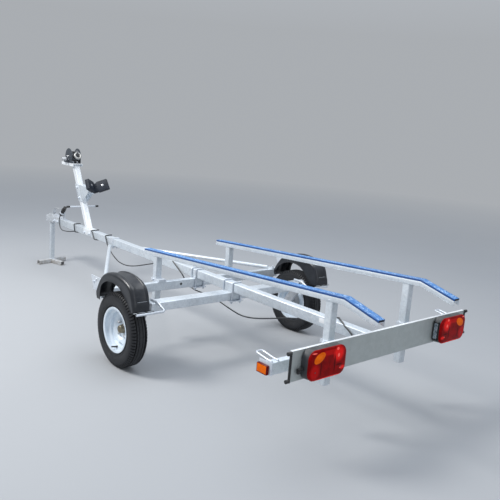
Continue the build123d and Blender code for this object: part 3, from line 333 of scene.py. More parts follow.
def guard_plastic():
    """Black moulding: scuffed, splashed low down, and with a painted highlight where low faces look up."""
    finish = Finish("guard_plastic", Specular_IOR_Level=0.55)
    height = finish.axes[2]
    clouds = finish.noise(14, 5, 0.6)
    grain = finish.noise(1100, 3)
    top = finish.facing_up()
    splash = finish.noise(45, 6, 0.7).ramp(0.55, 0.8) * (1 - height.ramp(0.38, 0.5))
    dusty = top * clouds.ramp(0.35, 0.7) * 0.1 + splash * 0.22
    scuffs = finish.noise(60, 4, stretch=(1.0, 0.15, 1.0)).ramp(0.62, 0.74) * 0.2
    # Painted highlight: low faces that look up, such as the rear lip and the panel's end step, are lightened.
    painted_lip_highlight = top * (1 - height.ramp(0.474, 0.48)) * 0.85
    body = finish.layers(
        finish.mix((0.008, 0.0097, 0.013), (0.017, 0.0195, 0.0255), clouds.ramp(0.35, 0.7)),
        ((0.2, 0.19, 0.17), dusty), ((0.1, 0.105, 0.115), scuffs), ((0.42, 0.45, 0.48), painted_lip_highlight),
    )
    finish.set(Base_Color=body, Roughness=grain * 0.1 + clouds * 0.12 + dusty * 0.5 + 0.2)
    finish.bump(grain * 0.7 + clouds * 0.5, 0.0004, 0.45)
    return finish


def pad_strip():
    """Moulded blue strip: ribbed top with a painted sheen, painted shade on its sides and in its edge
    grooves, and ends painted near black as shade inside the profile.
    """
    finish = Finish("pad_strip", Specular_IOR_Level=0.45)
    y = finish.axes[1]
    clouds = finish.noise(9, 5, 0.6)
    rub_marks_and_sheen = finish.noise(30, 4, stretch=(0.12, 1.0, 1.0))
    top = finish.facing_up()
    flecks = finish.noise(115, 3, 0.6).ramp(0.5, 0.6) * finish.noise(34, 3).ramp(0.36, 0.56)
    marks = finish.noise(120, 3, 0.6, distortion=0.4).ramp(0.6, 0.72) * top * 0.5
    across = (y.size() - 0.3095).size()
    ribs = y.wave(0.0063)
    # A groove near each edge of the top, sunk by the bump and darkened as painted shade.
    edge_groove_and_shade = across.ramp(0.0185, 0.0195) * (1 - across.ramp(0.0205, 0.0215)) * top
    # Painted shade: the end faces inside the outer rim are darkened near black, standing in for the shade
    # inside the profile.
    hollow_end_shade = finish.facing(0).size().ramp(0.75, 0.85) * (1 - across.ramp(0.0195, 0.0205))
    body = finish.layers(
        finish.mix((0.02, 0.125, 0.39), (0.03, 0.165, 0.47), clouds.ramp(0.3, 0.7)),
        # Painted sheen: upper faces lightened, more along the rub marks.
        ((0.1, 0.31, 0.66), top * (rub_marks_and_sheen.ramp(0.42, 0.7) * 0.45 + 0.15)),
        ((0.42, 0.6, 0.82), flecks * (top * 0.85 + 0.15)),
        # Dirt marks, then painted shade on the sides and lower faces.
        ((0.01, 0.06, 0.22), marks), ((0.01, 0.052, 0.2), (1 - top) * 0.75),
        ((0.01, 0.06, 0.24), edge_groove_and_shade * 0.8), ((0.004, 0.006, 0.012), hollow_end_shade),
    )
    finish.set(Base_Color=body, Roughness=rub_marks_and_sheen * 0.2 + clouds * 0.1 + 0.3)
    finish.bump(ribs * top + finish.noise(700, 2) * 0.6 - edge_groove_and_shade * 2, 0.0005, 0.5)
    return finish


def lens_plastic(name, deep, colour, painted_glow, patches=(), rim=None):
    """A moulded lens with fine optic ribs, a faint painted emission though the lamp is not lit, and painted
    patches of light and shade for its reflectors.
    """
    finish = Finish(name, Specular_IOR_Level=0.05, Coat_Roughness=0.08)
    x, y, z = finish.axes
    side = y.size()
    ribs = (y.wave(0.006) * 0.5 + 0.5) * (z.wave(0.006) * 0.5 + 0.5)
    body = finish.mix(deep, colour, ribs * 0.35 + finish.noise(28, 3).ramp(0.4, 0.65) * 0.55)
    # Painted light and shade: each patch mixes in a lighter or darker colour.
    for patch, middle_y, middle_z, half_y, half_z in patches:
        away = (((side - middle_y) / half_y) ** 2 + ((z - middle_z) / half_z) ** 2) ** 0.5
        body = finish.mix(body, patch, 1 - away.ramp(0.55, 1.0))
    if rim:
        rim_colour, (low_x, high_x), (low_z, high_z) = rim
        inside = (x - low_x).ramp(0.0, 0.0015) * (high_x - x).ramp(0.0, 0.0015)
        inside = inside * (z - low_z).ramp(0.0, 0.0015) * (high_z - z).ramp(0.0, 0.0015)
        body = finish.mix(rim_colour, body, inside)
    dirt = finish.noise(50, 5, 0.7).ramp(0.62, 0.85) * 0.2
    body = finish.mix(body, (0.12, 0.09, 0.07), dirt)
    # The emission is painted light: the lens shines by itself though the lamp is off.
    finish.set(
        Base_Color=body, Roughness=dirt * 0.5 + 0.2, Coat_Weight=(1 - dirt) * 0.04,
        Emission_Color=body, Emission_Strength=painted_glow,
    )
    finish.bump(ribs, 0.0006, 0.5)
    return finish


def strap_webbing():
    """Woven strap, worn at its edges, with the lines of its turns on the drum's end."""
    finish = Finish("strap_webbing", Specular_IOR_Level=0.3)
    x, y, z = finish.axes
    weave = y.wave(0.0024) * (x + z).wave(0.0031)
    turns = (((x - AXLE_X - DRUM_X / 1000) ** 2 + (z - DRUM_Z / 1000) ** 2) ** 0.5).wave(0.0026)
    edge = (y + 0.0047).size().ramp(0.024, 0.028)
    body = finish.layers(
        finish.mix((0.1, 0.105, 0.115), (0.2, 0.205, 0.215), weave * 0.5 + 0.5),
        ((0.05, 0.05, 0.055), turns * 0.25 + 0.25),
        ((0.3, 0.29, 0.27), finish.noise(40, 5).ramp(0.55, 0.8) * 0.4), ((0.06, 0.06, 0.065), edge * 0.4),
    )
    finish.set(Base_Color=body, Roughness=weave * 0.08 + 0.8)
    finish.bump(weave + turns * 0.8, 0.0006, 0.7)
    return finish


zinc_tube = zinc_coat("zinc_tube", (0.77, 0.82, 0.86), (0.56, 0.615, 0.67), 0.46, 0.38, 70, 0.2, wear=0.4)
# The winch post's zinc: the tube zinc painted lighter, standing in for the light on the post's bright faces.
lit_zinc_post = zinc_coat("lit_zinc_post", (0.92, 0.94, 0.96), (0.72, 0.77, 0.82), 0.28, 0.36, 70, 0.16, wear=0.4)
zinc_plate = zinc_coat("zinc_plate", (0.78, 0.82, 0.87), (0.6, 0.65, 0.72), 0.5, 0.34, 80, 0.18)
zinc_axle = zinc_coat("zinc_axle", (0.64, 0.66, 0.69), (0.44, 0.47, 0.51), 0.5, 0.46, 55, 0.6)
zinc_stand = zinc_coat(
    "zinc_stand", (0.76, 0.79, 0.82), (0.56, 0.6, 0.65), 0.46, 0.42, 55, 0.2, low_dust=0.8
)
# The board's upward faces, its top lip above all, get a painted highlight (crest=0.9).
board_sheet = zinc_coat(
    "board_sheet", (0.43, 0.465, 0.46), (0.375, 0.41, 0.405), 0.3, 0.42, 40, 0.1, wear=0.15, crest=0.9
)
cast_zinc = zinc_coat("cast_zinc", (0.76, 0.79, 0.82), (0.36, 0.39, 0.44), 0.5, 0.4, 110, 0.55)
lever_steel = brushed("lever_steel", (0.8, 0.81, 0.82), (0.62, 0.64, 0.66), 0.3, 0.85)
hub_steel = brushed("hub_steel", (0.5, 0.53, 0.56), (0.38, 0.4, 0.42), 0.42, 0.6, 0.5)
rim_silver = brushed("rim_silver", (0.8, 0.88, 0.95), (0.66, 0.74, 0.82), 0.4, 0.26, 0.12)
cap_brass = brushed("cap_brass", (0.13, 0.115, 0.085), (0.27, 0.235, 0.165), 0.36, 0.75, 0.5)
tyre = tyre_rubber()
guard_black = guard_plastic()
winch_grey = coated(
    "winch_grey", (0.045, 0.054, 0.068), (0.075, 0.086, 0.102), 0.38, 350, 0.0003, 30, 0.2, metal=0.3
)
gear_steel = brushed("gear_steel", (0.74, 0.75, 0.76), (0.56, 0.57, 0.58), 0.3, 0.85, 0.3)
ring_steel = brushed("ring_steel", (0.5, 0.5, 0.48), (0.36, 0.36, 0.35), 0.34, 0.6, 0.3)
webbing = strap_webbing()
bow_rubber = coated(
    "bow_rubber", (0.011, 0.014, 0.021), (0.024, 0.031, 0.044), 0.55, 600, 0.0004, 22, 0.08,
    Specular_IOR_Level=0.25,
)
black_plastic = coated(
    "black_plastic", (0.01, 0.01, 0.011), (0.02, 0.02, 0.022), 0.4, 800, 0.0003, 25, 0.12
)
cable_black = coated(
    "cable_black", (0.022, 0.025, 0.028), (0.042, 0.047, 0.053), 0.45, 500, 0.0002, 14, 0.3
)
housing_grey = coated(
    "housing_grey", (0.026, 0.028, 0.031), (0.048, 0.051, 0.056), 0.46, 500, 0.0003, 18, 0.15
)
window_clear = coated(
    "window_clear", (0.07, 0.09, 0.11), (0.58, 0.65, 0.72), 0.15, 200, 0.0002, 85, metal=0.2
)
label_white = coated("label_white", (0.9, 0.91, 0.92), (0.82, 0.83, 0.85), 0.35, 400, 0.0001, 20)
pad_blue = pad_strip()

# Painted light and shade on the red lenses, GLOW, WARM and SPARK lighter and DARK darker: colour, how far out
# and how high the middle is, half the width and height
GLOW = (0.74, 0.012, 0.01)
WARM = (0.4, 0.004, 0.004)
SPARK = (1.0, 0.14, 0.11)
DARK = (0.075, 0.0005, 0.001)
lamp_red = lens_plastic("lamp_red", (0.15, 0.0008, 0.0012), (0.3, 0.0015, 0.002), 0.13, (
    (WARM, 0.6, 0.44, 0.034, 0.044), (WARM, 0.5, 0.52, 0.11, 0.016),
    (GLOW, 0.446, 0.504, 0.04, 0.042), (SPARK, 0.455, 0.529, 0.01, 0.008),
    (SPARK, 0.447, 0.497, 0.009, 0.011), (GLOW, 0.416, 0.434, 0.022, 0.011),
    (SPARK, 0.431, 0.436, 0.005, 0.005), (DARK, 0.47, 0.462, 0.006, 0.05),
    (DARK, 0.44, 0.452, 0.026, 0.006), (DARK, 0.56, 0.452, 0.005, 0.04),
    (GLOW, 0.5, 0.4025, 0.12, 0.005), (SPARK, 0.606, 0.53, 0.016, 0.004),
))
lamp_amber = lens_plastic("lamp_amber", (0.58, 0.085, 0.001), (0.9, 0.185, 0.002), 0.18)
marker_orange = lens_plastic(
    "marker_orange", (0.6, 0.095, 0.002), (0.84, 0.165, 0.004), 0.16,
    rim=((0.1, 0.004, 0.006), (AXLE_X - 1.304, AXLE_X - 1.2425), (0.4125, 0.4515)),
)

# The nodes that each finish goes on, apart from those that a piece below stands for
node_finishes = (
    (zinc_tube, "spine front_crossbeam axle_crossbeam rear_crossmember bunk_rail_left bunk_rail_right "
     "bunk_posts_front bunk_posts_rear brace_left brace_right stand_post bow_bracket"),
    (lit_zinc_post, "winch_post"),
    (zinc_stand, "stand_foot"),
    (zinc_axle, "half_axle_left half_axle_right"),
    (zinc_plate, "post_clamps_front post_clamps_rear brace_clamp guard_stay_left guard_stay_right "
     "bow_backing cross_handle board_brackets marker_plates lashing_loops u_bolts clamp_plates plug_holder"),
    (board_sheet, "light_board"),
    (cast_zinc, "coupling"),
    (lever_steel, "coupling_lever"),
    (rim_silver, "rim_left rim_right"),
    (winch_grey, "winch_frame"),
    (gear_steel, "winch_drum winch_crank"),
    (ring_steel, "winch_ring"),
    (webbing, "winch_strap strap_end"),
    (bow_rubber, "bow_block"),
    (black_plastic, "handle_caps board_clips plug"),
    (cable_black, "cable"),
    (pad_blue, "bunk_pad_left bunk_pad_right"),
    (marker_orange, "side_markers"),
)

# Edge rounding in metres, 0 where edges stay crisp
SOFT_EDGE = 0.0008
soft_edges = {
    "bunk_pad_left": 0.0028, "bunk_pad_right": 0.0028, "bow_block": 0.004, "side_markers": 0.002,
    "coupling": 0.003, "plug": 0.0015, "handle_caps": 0.001, "board_clips": 0.001,
    "stand_foot": 0.0006, "winch_crank": 0.0006, "winch_drum": 0, "cable": 0, "winch_ring": 0,
}


def smooth_cad(name, finish):
    """The finish, with merged corners, rounded edges and smooth shading on a CAD node."""
    thing = nodes[name]
    mesh = thing.data
    if "custom_normal" in mesh.attributes:
        mesh.attributes.remove(mesh.attributes["custom_normal"])
    cover(mesh, finish)
    modify(thing, "merge", "WELD", merge_threshold=0.00002)
    width = soft_edges.get(name, SOFT_EDGE)
    if width:
        modify(
            thing, "edges", "BEVEL", width=width, segments=2, limit_method="ANGLE", angle_limit=radians(38)
        )
    modify(thing, "corners", "EDGE_SPLIT", split_angle=radians(34))


for finish, names in node_finishes:
    for name in names.split():
        smooth_cad(name, finish)


# Making pieces


def add_piece(name, mesh, finish=None, body="chassis"):
    """A mesh as a piece that rides on a body, shaded smooth if it is given its finish here."""
    thing = new_object(name, mesh)
    if finish:
        cover(mesh, finish)
    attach(thing, body)
    return thing


def solid_piece(name, shape, finish, body="chassis", corner_angle=35, edge=0.0):
    """A bmesh as a piece with crisp corners, and with rounded edges if a width in metres is given."""
    bmesh.ops.recalc_face_normals(shape, faces=shape.faces)
    mesh = bpy.data.meshes.new(name)
    shape.to_mesh(mesh)
    shape.free()
    made = add_piece(name, mesh, finish, body)
    if edge:
        modify(made, "edges", "BEVEL", width=edge, segments=2)
    modify(made, "corners", "EDGE_SPLIT", split_angle=radians(corner_angle))
    return made


def outward_mesh(name, corners, faces, crest=None):
    """A mesh with its faces turned outwards, or so that the one nearest to the crest looks up."""
    mesh = bpy.data.meshes.new(name)
    mesh.from_pydata(corners, [], faces)
    shape = bmesh.new()
    shape.from_mesh(mesh)
    bmesh.ops.recalc_face_normals(shape, faces=shape.faces)
    if crest:
        nearest = min(shape.faces, key=lambda face: (face.calc_center_median() - crest).length)
        if nearest.normal.z < 0:
            bmesh.ops.reverse_faces(shape, faces=shape.faces)
    shape.to_mesh(mesh)
    shape.free()
    return mesh


def join_rings(shape, first, second):
    """Faces between two rings of corners. A ring of one corner makes a tip."""
    count = max(len(first), len(second))
    for n in range(count):
        after = (n + 1) % count
        if len(first) == 1:
            shape.faces.new((first[0], second[n], second[after]))
        elif len(second) == 1:
            shape.faces.new((first[n], first[after], second[0]))
        else:
            shape.faces.new((first[n], first[after], second[after], second[n]))


def settle(thing):
    """The object's evaluated shape as a plain mesh, and the object itself removed."""
    bpy.context.view_layer.update()
    evaluated = thing.evaluated_get(bpy.context.evaluated_depsgraph_get())
    mesh = bpy.data.meshes.new_from_object(evaluated)
    bpy.data.objects.remove(thing)
    return mesh


class GeometryTree(Graph):
    """A Geometry Nodes group that takes a mesh, named lengths and a finish."""

    def __init__(self, name, lengths):
        super().__init__(bpy.data.node_groups.new(name, "GeometryNodeTree"))
        inputs = {"Mesh": "Geometry", **dict.fromkeys(lengths, "Float"), "Finish": "Material"}
        self.sockets = {}
        for label, kind in inputs.items():
            socket = self.tree.interface.new_socket(label, in_out="INPUT", socket_type=f"NodeSocket{kind}")
            self.sockets[label] = socket.identifier
        self.tree.interface.new_socket("Shape", in_out="OUTPUT", socket_type="NodeSocketGeometry")
        given = self.tree.nodes.new("NodeGroupInput").outputs
        self.given = {label: Value(self, given[label]) for label in inputs}

    def scatter(self, points, shape, way, **scaling):
        """The tree's result: this shape at every point, along its way, in the given finish."""
        turn = self.node("FunctionNodeAlignRotationToVector", {"axis": "Z"}, {"Vector": way})
        inputs = {"Points": points, "Instance": shape, "Rotation": turn, **scaling}
        placed = self.node("GeometryNodeInstanceOnPoints", {}, inputs)
        real = self.node("GeometryNodeRealizeInstances", {}, {0: placed})
        done = self.node("GeometryNodeSetMaterial", {}, {0: real, "Material": self.given["Finish"]})
        self.feed(self.tree.nodes.new("NodeGroupOutput").inputs[0], done)

    def add(self, name, mesh, finish, body, **lengths):
        """The tree run on a mesh, as a piece. The lengths are in millimetres."""
        thing = new_object(name, mesh)
        modifier = modify(thing, "shape", "NODES", node_group=self.tree)
        modifier[self.sockets["Finish"]] = finish.material
        for label, length in lengths.items():
            modifier[self.sockets[label]] = length / 1000
        return add_piece(name, settle(thing), body=body)


# Shares of a nut's width across its flats: its corners' radius, chamfer, washer's thickness and stud's radius
HEX_RADIUS, HEX_CHAMFER, WASHER_THICK, STUD_RADIUS = 0.577, 0.045, 0.11, 0.3


def nut_tree():
    """A washer, a hexagon and a stud's end at every point, along its way."""
    tree = GeometryTree("nuts", ("Across", "Height", "Washer", "Stud"))
    given = tree.given
    across, height = given["Across"], given["Height"]
    washer_thick = across * WASHER_THICK

    def drum(sides, radius, depth, low):
        made = tree.node(
            "GeometryNodeMeshCylinder", {"fill_type": "NGON"},
            {"Vertices": sides, "Radius": radius, "Depth": depth},
        )
        lift = tree.node("ShaderNodeCombineXYZ", {}, {2: depth * 0.5 + low})
        return tree.node("GeometryNodeTransform", {}, {"Geometry": made, "Translation": lift})

    fixing = tree.node("GeometryNodeJoinGeometry", {}, {0: [
        drum(24, given["Washer"] * 0.5, washer_thick, 0),
        drum(6, across * HEX_RADIUS, height, washer_thick),
        drum(16, across * STUD_RADIUS, given["Stud"], height + washer_thick),
    ]})
    way = tree.node("GeometryNodeInputNamedAttribute", {"data_type": "FLOAT_VECTOR"}, {"Name": "way"})
    tree.scatter(given["Mesh"], fixing, way)
    return tree


nuts = nut_tree()


def fixings(name, rows, across, height, washer, stud, finish=zinc_plate, body="chassis"):
    """One piece of like bolts or nuts. Each row is a place from the wheels and the way its head faces."""
    mesh = bpy.data.meshes.new(name)
    mesh.from_pydata([at(*place) for place, _ in rows], [], [])
    ways = mesh.attributes.new("way", "FLOAT_VECTOR", "POINT")
    ways.data.foreach_set("vector", [number for _, way in rows for number in Vector(way).normalized()])
    made = nuts.add(name, mesh, finish, body, Across=across, Height=height, Washer=washer, Stud=stud)
    modify(made, "edges", "BEVEL", width=across / 1000 * HEX_CHAMFER, segments=1, limit_method="ANGLE")


def both_sides(rows):
    """The rows and their mirror images on the right. A row is a place, a way and what else it holds."""
    return [*rows, *[((x, -y, z), (i, -j, k), *rest) for (x, y, z), (i, j, k), *rest in rows]]


# Bolts and nuts

# Name, rows on the left, and in mm: across the flats, height, washer and stud
for name, rows, sizes in (
    ("beam_clamp_nuts", [
        ((x, 35.3, z), (0, 0, -1)) for x, z in ((232, 353.7), (284, 353.7), (-174, 359.7), (-80, 359.7))
    ], (16, 8, 20, 5)),
    ("brace_bolts", [
        ((1450, 18, 407.7), (0, 0, -1)), ((258, 720, 426), (0, 0, 1)), ((258, 720, 360), (0, 0, -1)),
    ], (17, 8, 26, 6)),
    ("saddle_bolts", [((x, 35.3, 446), (0, 1, 0)) for x in (1858, 1950)], (17, 8, 26, 5)),
    ("coupling_bolts", [((x, 35.3, 450), (0, 1, 0)) for x in (2528, 2592)], (19, 9, 28, 6)),
    ("winch_base_bolts", [((x, 22, 1041), (0, 0, 1)) for x in (2246, 2376)], (16, 7, 22, 4)),
    ("bow_bracket_bolts", [((post_x(z), 30.3, z), (0, 1, 0)) for z in (742, 832)], (17, 8, 24, 5)),
    ("post_clamp_bolts", [
        ((x, 338.3, z), (0, 1, 0)) for x, z in ((300.8, 429), (-1259.2, 479))
    ], (13, 7, 18, 4)),
):
    fixings(name, both_sides(rows), *sizes)
fixings("winch_shaft_nuts", both_sides([((DRUM_X, 49, DRUM_Z), (0, 1, 0))]), 15, 6, 19, 3, gear_steel, "drum")
STUDS = [(50 * cos(turn), 50 * sin(turn)) for turn in map(radians, (45, 135, 225, 315))]
for side, sign in SIDES:
    fixings(f"wheel_nuts_{side}", [
        ((x, sign * 724.6, WHEEL_Z + z), (0, sign, 0)) for x, z in STUDS
    ], 19, 14, 20, 3, gear_steel, f"wheel_{side}")


# Tyres with their tread

PITCHES = 72
# Places along a pitch as shares of it, and those with the ribs' slits and the shoulders' notches
TREAD_SHARES = (0.0, 0.02, 0.07, 0.09, 0.34, 0.38, 0.68, 0.72)
SLIT_SHARES, NOTCH_SHARES = (0.02, 0.07), (0.38, 0.68)
# Half of the tyre's section: mm from its middle, radius, and how far slits and notches sink it, across and in
TREAD_HALF = (
    (0, 230, 3.4, 0, 0), (6.5, 229.9, 3.4, 0, 0), (9, 229.9, 0, 0, 0), (9.6, 224.5, 0, 0, 0),
    (12.6, 224.5, 0, 0, 0), (13.2, 229.7, 0, 0, 0), (16, 229.6, 3.4, 0, 0), (22.6, 229.3, 3.4, 0, 0),
    (24.6, 229.2, 0, 0, 0), (25.4, 221.4, 0, 0, 0), (32, 221.2, 0, 0, 0), (32.8, 228.8, 0, 0, 0),
    (34, 228.6, 0, 0, 2), (35.2, 228.3, 0, 0, 8.5), (40.5, 226.6, 0, 0.8, 9), (45, 221.8, 0, 4.4, 7.6),
    (48.6, 215.6, 0, 5.2, 4), (50.6, 209.6, 0, 3.2, 1), (52, 206.6, 0, 0, 0), (53, 203, 0, 0, 0),
    (54.6, 194, 0, 0, 0), (55, 184, 0, 0, 0), (54.3, 174, 0, 0, 0), (53.6, 168.5, 0, 0, 0),
    (52.9, 168, 0, 0, 0), (51.4, 160, 0, 0, 0), (50.6, 156, 0, 0, 0), (51.2, 154.5, 0, 0, 0),
    (50.6, 152, 0, 0, 0), (48, 149, 0, 0, 0), (43.4, 144, 0, 0, 0), (43.2, 128, 0, 0, 0),
)
CARCASS_HALF = (
    (34.2, 128), (34.8, 146), (44, 168), (46, 186), (41, 212), (22, 219), (0, 220),
)
# The tread's pattern leans by this share of a pitch at the section's widest, down to this radius
TREAD_SKEW, SECTION_HALF, TREAD_LOW = 0.3, 55, 209


def tyre_mesh(name, sign):
    """A closed carcass turned about the axle, with grooves, slit ribs and notched shoulders."""
    section = [
        (-y, radius, slit, -across, inward) for y, radius, slit, across, inward in reversed(TREAD_HALF[1:])
    ]
    section += TREAD_HALF
    section += [(y, radius, 0, 0, 0) for y, radius in CARCASS_HALF]
    section += [(-y, radius, 0, 0, 0) for y, radius in reversed(CARCASS_HALF[:-1])]
    corners, faces = [], []
    for pitch in range(PITCHES):
        for share in TREAD_SHARES:
            slits, notches = share in SLIT_SHARES, share in NOTCH_SHARES
            for y, radius, slit, across, inward in section:
                skew = y / SECTION_HALF * TREAD_SKEW if radius > TREAD_LOW else 0.0
                turn = 2 * pi * (pitch + share + skew) / PITCHES
                r = radius - (slit if slits else 0) - (inward if notches else 0)
                wide = y - (across if notches else 0)
                corners.append(at(r * cos(turn), sign * WHEEL_Y + wide, WHEEL_Z + r * sin(turn)))
    rows, width = PITCHES * len(TREAD_SHARES), len(section)
    for row in range(rows):
        here, after = row * width, (row + 1) % rows * width
        for spot in range(width):
            following = (spot + 1) % width
            faces.append((here + spot, here + following, after + following, after + spot))
    return outward_mesh(name, corners, faces)


for side, sign in SIDES:
    name = f"treaded_tyre_{side}"
    treaded = add_piece(name, tyre_mesh(name, sign), tyre, f"wheel_{side}")
    modify(treaded, "corners", "EDGE_SPLIT", split_angle=radians(32))
    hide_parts(f"tyre_{side}")


# Mudguards

# The crown's line and the wheel arch's edge from the side, front end first: x from the wheels and z
GUARD_CROWN = (
    (203, 386), (210, 432), (140, 536), (40, 578), (-85, 579), (-198, 540), (-240, 455), (-247, 403),
)
GUARD_ARCH = (
    (148, 384), (151, 430), (128, 486), (50, 524), (-62, 519), (-138, 480), (-200, 424), (-222, 401),
)
# The same edge of the inner skirt, which keeps clear of the tread
GUARD_INNER_ARCH = (
    (196, 388), (196, 428), (135, 486), (50, 517), (-50, 509), (-118, 466), (-160, 420), (-176, 401),
)
# Across the guard: y, and height over the crown, of the sunk panel along it
GUARD_PANEL = (
    (714.2, 0), (715.6, -0.8), (717.6, -4.4), (719.4, -5), (747, -4.6), (776, -5), (778, -4.4),
    (780, -0.8), (782, 0),
)
# Where the panel starts and ends, as a share of the crown's line
PANEL_START, PANEL_END = 0.04, 0.845
GUARD_INSIDE, GUARD_OUTSIDE = 691.5, 810.5
INNER_CORNER, OUTER_CORNER = 22, 21
# Steps of the mesh along the guard, and round the corners of guards and lamps
GUARD_STEPS, CORNER_STEPS = 84, 8


def smooth_line(points, share):
    """A place on the smooth curve through the points, by its share of the runs from 0 to 1."""
    runs = len(points) - 1
    spot = min(share * runs, runs - 1e-6)
    first = int(spot)
    t = spot - first
    near = [Vector(points[max(0, min(runs, first + step))]) for step in (-1, 0, 1, 2)]
    return 0.5 * (
        2 * near[1] + (near[2] - near[0]) * t + (2 * near[0] - 5 * near[1] + 4 * near[2] - near[3]) * t ** 2
        + (3 * near[1] - near[0] - 3 * near[2] + near[3]) * t ** 3
    )


def skirt(crown, arch, corner, side, way):
    """A side of the guard's section from its lip up to the crown. Way is 1 on the outer side, -1 inside."""
    drop = arch - crown
    deep = drop.length
    drop.normalize()
    corner = min(corner, deep * 0.4)
    rows = [(arch + drop * 1.5, side + way * 0.5), (arch, side + way * 1.4), (arch + drop * -3, side)]
    for part in (0.93, 0.75, 0.45):
        rows.append((crown + drop * (corner + (deep - corner) * part), side - way * 1.5 * sin(part * pi)))
    for step in range(CORNER_STEPS, -1, -1):
        angle = step / CORNER_STEPS * pi / 2
        rows.append((crown + drop * corner * (1 - cos(angle)), side + way * corner * (sin(angle) - 1)))
    return rows


def guard_mesh(name, sign):
    """The outer skin: the crown with its sunk panel, and a skirt down to the arch on each side."""
    shares = [n / GUARD_STEPS for n in range(GUARD_STEPS + 1)]
    shares = sorted([*shares, PANEL_END - 0.003, PANEL_END + 0.006])
    corners, faces = [], []
    for share in shares:
        crown = smooth_line(GUARD_CROWN, share)
        before, after = max(0, share - 0.01), min(1, share + 0.01)
        ahead = smooth_line(GUARD_CROWN, after) - smooth_line(GUARD_CROWN, before)
        arch = smooth_line(GUARD_ARCH, share)
        out = Vector((ahead.y, -ahead.x)).normalized()
        out = out if out.dot(crown - arch) > 0 else -out
        sunk = PANEL_START < share < PANEL_END
        section = skirt(crown, smooth_line(GUARD_INNER_ARCH, share), INNER_CORNER, GUARD_INSIDE, -1)
        section += [(crown + out * (up * sunk), y) for y, up in GUARD_PANEL]
        section += reversed(skirt(crown, arch, OUTER_CORNER, GUARD_OUTSIDE, 1))
        corners += [at(place.x, sign * y, place.y) for place, y in section]
    width = len(section)
    for row in range(len(shares) - 1):
        for spot in range(width - 1):
            near, far = row * width + spot, (row + 1) * width + spot
            faces.append((near, near + 1, far + 1, far) if sign > 0 else (near, far, far + 1, near + 1))
    return outward_mesh(name, corners, faces, crest=at(-20, sign * 757, 583))


def slabs(name, blocks, finish, edge):
    """One piece of blocks, each from its lowest to its highest place, with rounded edges."""
    shape = bmesh.new()
    for low, high in blocks:
        low, high = at(*low), at(*high)
        made = bmesh.ops.create_cube(shape, size=1)["verts"]
        for corner in made:
            corner.co = [(a + b) / 2 + c * (b - a) for a, b, c in zip(low, high, corner.co)]
        edges = list({e for corner in made for e in corner.link_edges})
        bmesh.ops.bevel(shape, geom=edges, offset=edge / 1000, segments=2, affect="EDGES", profile=0.5)
    solid_piece(name, shape, finish)


for side, sign in SIDES:
    name = f"guard_shell_{side}"
    shell = add_piece(name, guard_mesh(name, sign), guard_black)
    modify(shell, "wall", "SOLIDIFY", thickness=0.0034, offset=-1)
    modify(shell, "corners", "EDGE_SPLIT", split_angle=radians(40))
    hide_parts(f"mudguard_{side}")
    low_y, high_y = sorted((sign * 676, sign * 811))
    slabs(f"guard_lip_{side}", [((-257.5, low_y, 400.8), (-244.5, high_y, 405))], guard_black, 1.5)


# Turned pieces


def turned(name, runs, finish, segments=20, corner_angle=35, body="chassis"):
    """Closed round pieces. Each run is its start, the way it points, and rows of distance and radius."""
    shape = bmesh.new()
    for start, way, rows in runs:
        start, along = at(*start), Vector(way).normalized()
        side = along.orthogonal().normalized()
        other = along.cross(side)
        turns = [2 * pi * n / segments for n in range(segments)]
        rings = [[shape.verts.new(start + along * (rows[0][0] / 1000))]]
        for distance, radius in rows:
            centre = start + along * (distance / 1000)
            rings.append([
                shape.verts.new(centre + (side * cos(turn) + other * sin(turn)) * (radius / 1000))
                for turn in turns
            ])
        rings.append([shape.verts.new(start + along * (rows[-1][0] / 1000))])
        for first, second in zip(rings, rings[1:]):
            join_rings(shape, first, second)
    return solid_piece(name, shape, finish, body, corner_angle)


# Distance along and radius
VALVE = ((0, 8), (3, 8), (5, 5.5), (24, 5), (26, 4), (27, 4.6), (38, 4.6), (40, 3.4))
HUB = (
    (0, 17), (0, 32), (2, 34), (24, 35), (27, 38), (27.2, 64), (28.5, 66), (34.8, 66), (36, 65), (36.1, 31),
    (43, 31), (44.5, 29.5), (44.6, 20),
)
CAP = (
    (0, 26.5), (1.5, 27.4), (5, 27.4), (6, 25.4), (20, 25.0), (25, 23.6), (28.6, 20.4), (30.6, 15.8),
    (31.6, 9), (32, 2),
)
SCREW = ((-1, 5.2), (0.6, 5.2), (1.8, 4.2), (2.2, 2.4))
DOME = ((-1, 7), (0.8, 7), (3.2, 5.4), (4.4, 3.0), (4.7, 1.0))
FLAT_HEAD = ((-1, 9), (1.2, 9), (1.6, 6.8), (5.4, 6.6), (6.2, 5.6))
PLATE_HEAD = ((-1, 10), (1, 10), (1.4, 7.5), (5, 7.2), (6, 6), (6.2, 3))
END_PLUG = ((-1, 8), (2.5, 8), (3.5, 6), (3, 3))
HOLE_PLUG = ((-1, 8.5), (1.2, 8.5), (1.6, 7), (1.2, 4.5), (0.4, 4))
CONNECTOR = ((0, 8), (6, 8), (8, 6.5), (20, 6.5), (22, 9.5), (30, 9.5), (32, 7))
CONNECTOR_TAIL = ((0, 7.5), (12, 8.5), (17, 6.0), (19, 4))
for side, sign in SIDES:
    wheel, out = f"wheel_{side}", (0, sign, 0)
    valve = [((12, sign * 755, WHEEL_Z - 114), (0, sign, 0.18), VALVE)]
    turned(f"valve_{side}", valve, black_plastic, body=wheel)
    hub = turned(f"turned_hub_{side}", [((0, sign * 684, WHEEL_Z), out, HUB)], hub_steel, 48, body=wheel)
    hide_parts(f"hub_{side}")
    turned(f"grease_cap_{side}", [((0, sign * 726, WHEEL_Z), out, CAP)], cap_brass, 40, 50, wheel)
turned("lamp_screws", both_sides([
    ((-1446.9, y, z), (-1, 0, 0), SCREW) for y, z in ((430, 440), (596, 440))
]), black_plastic, 14)
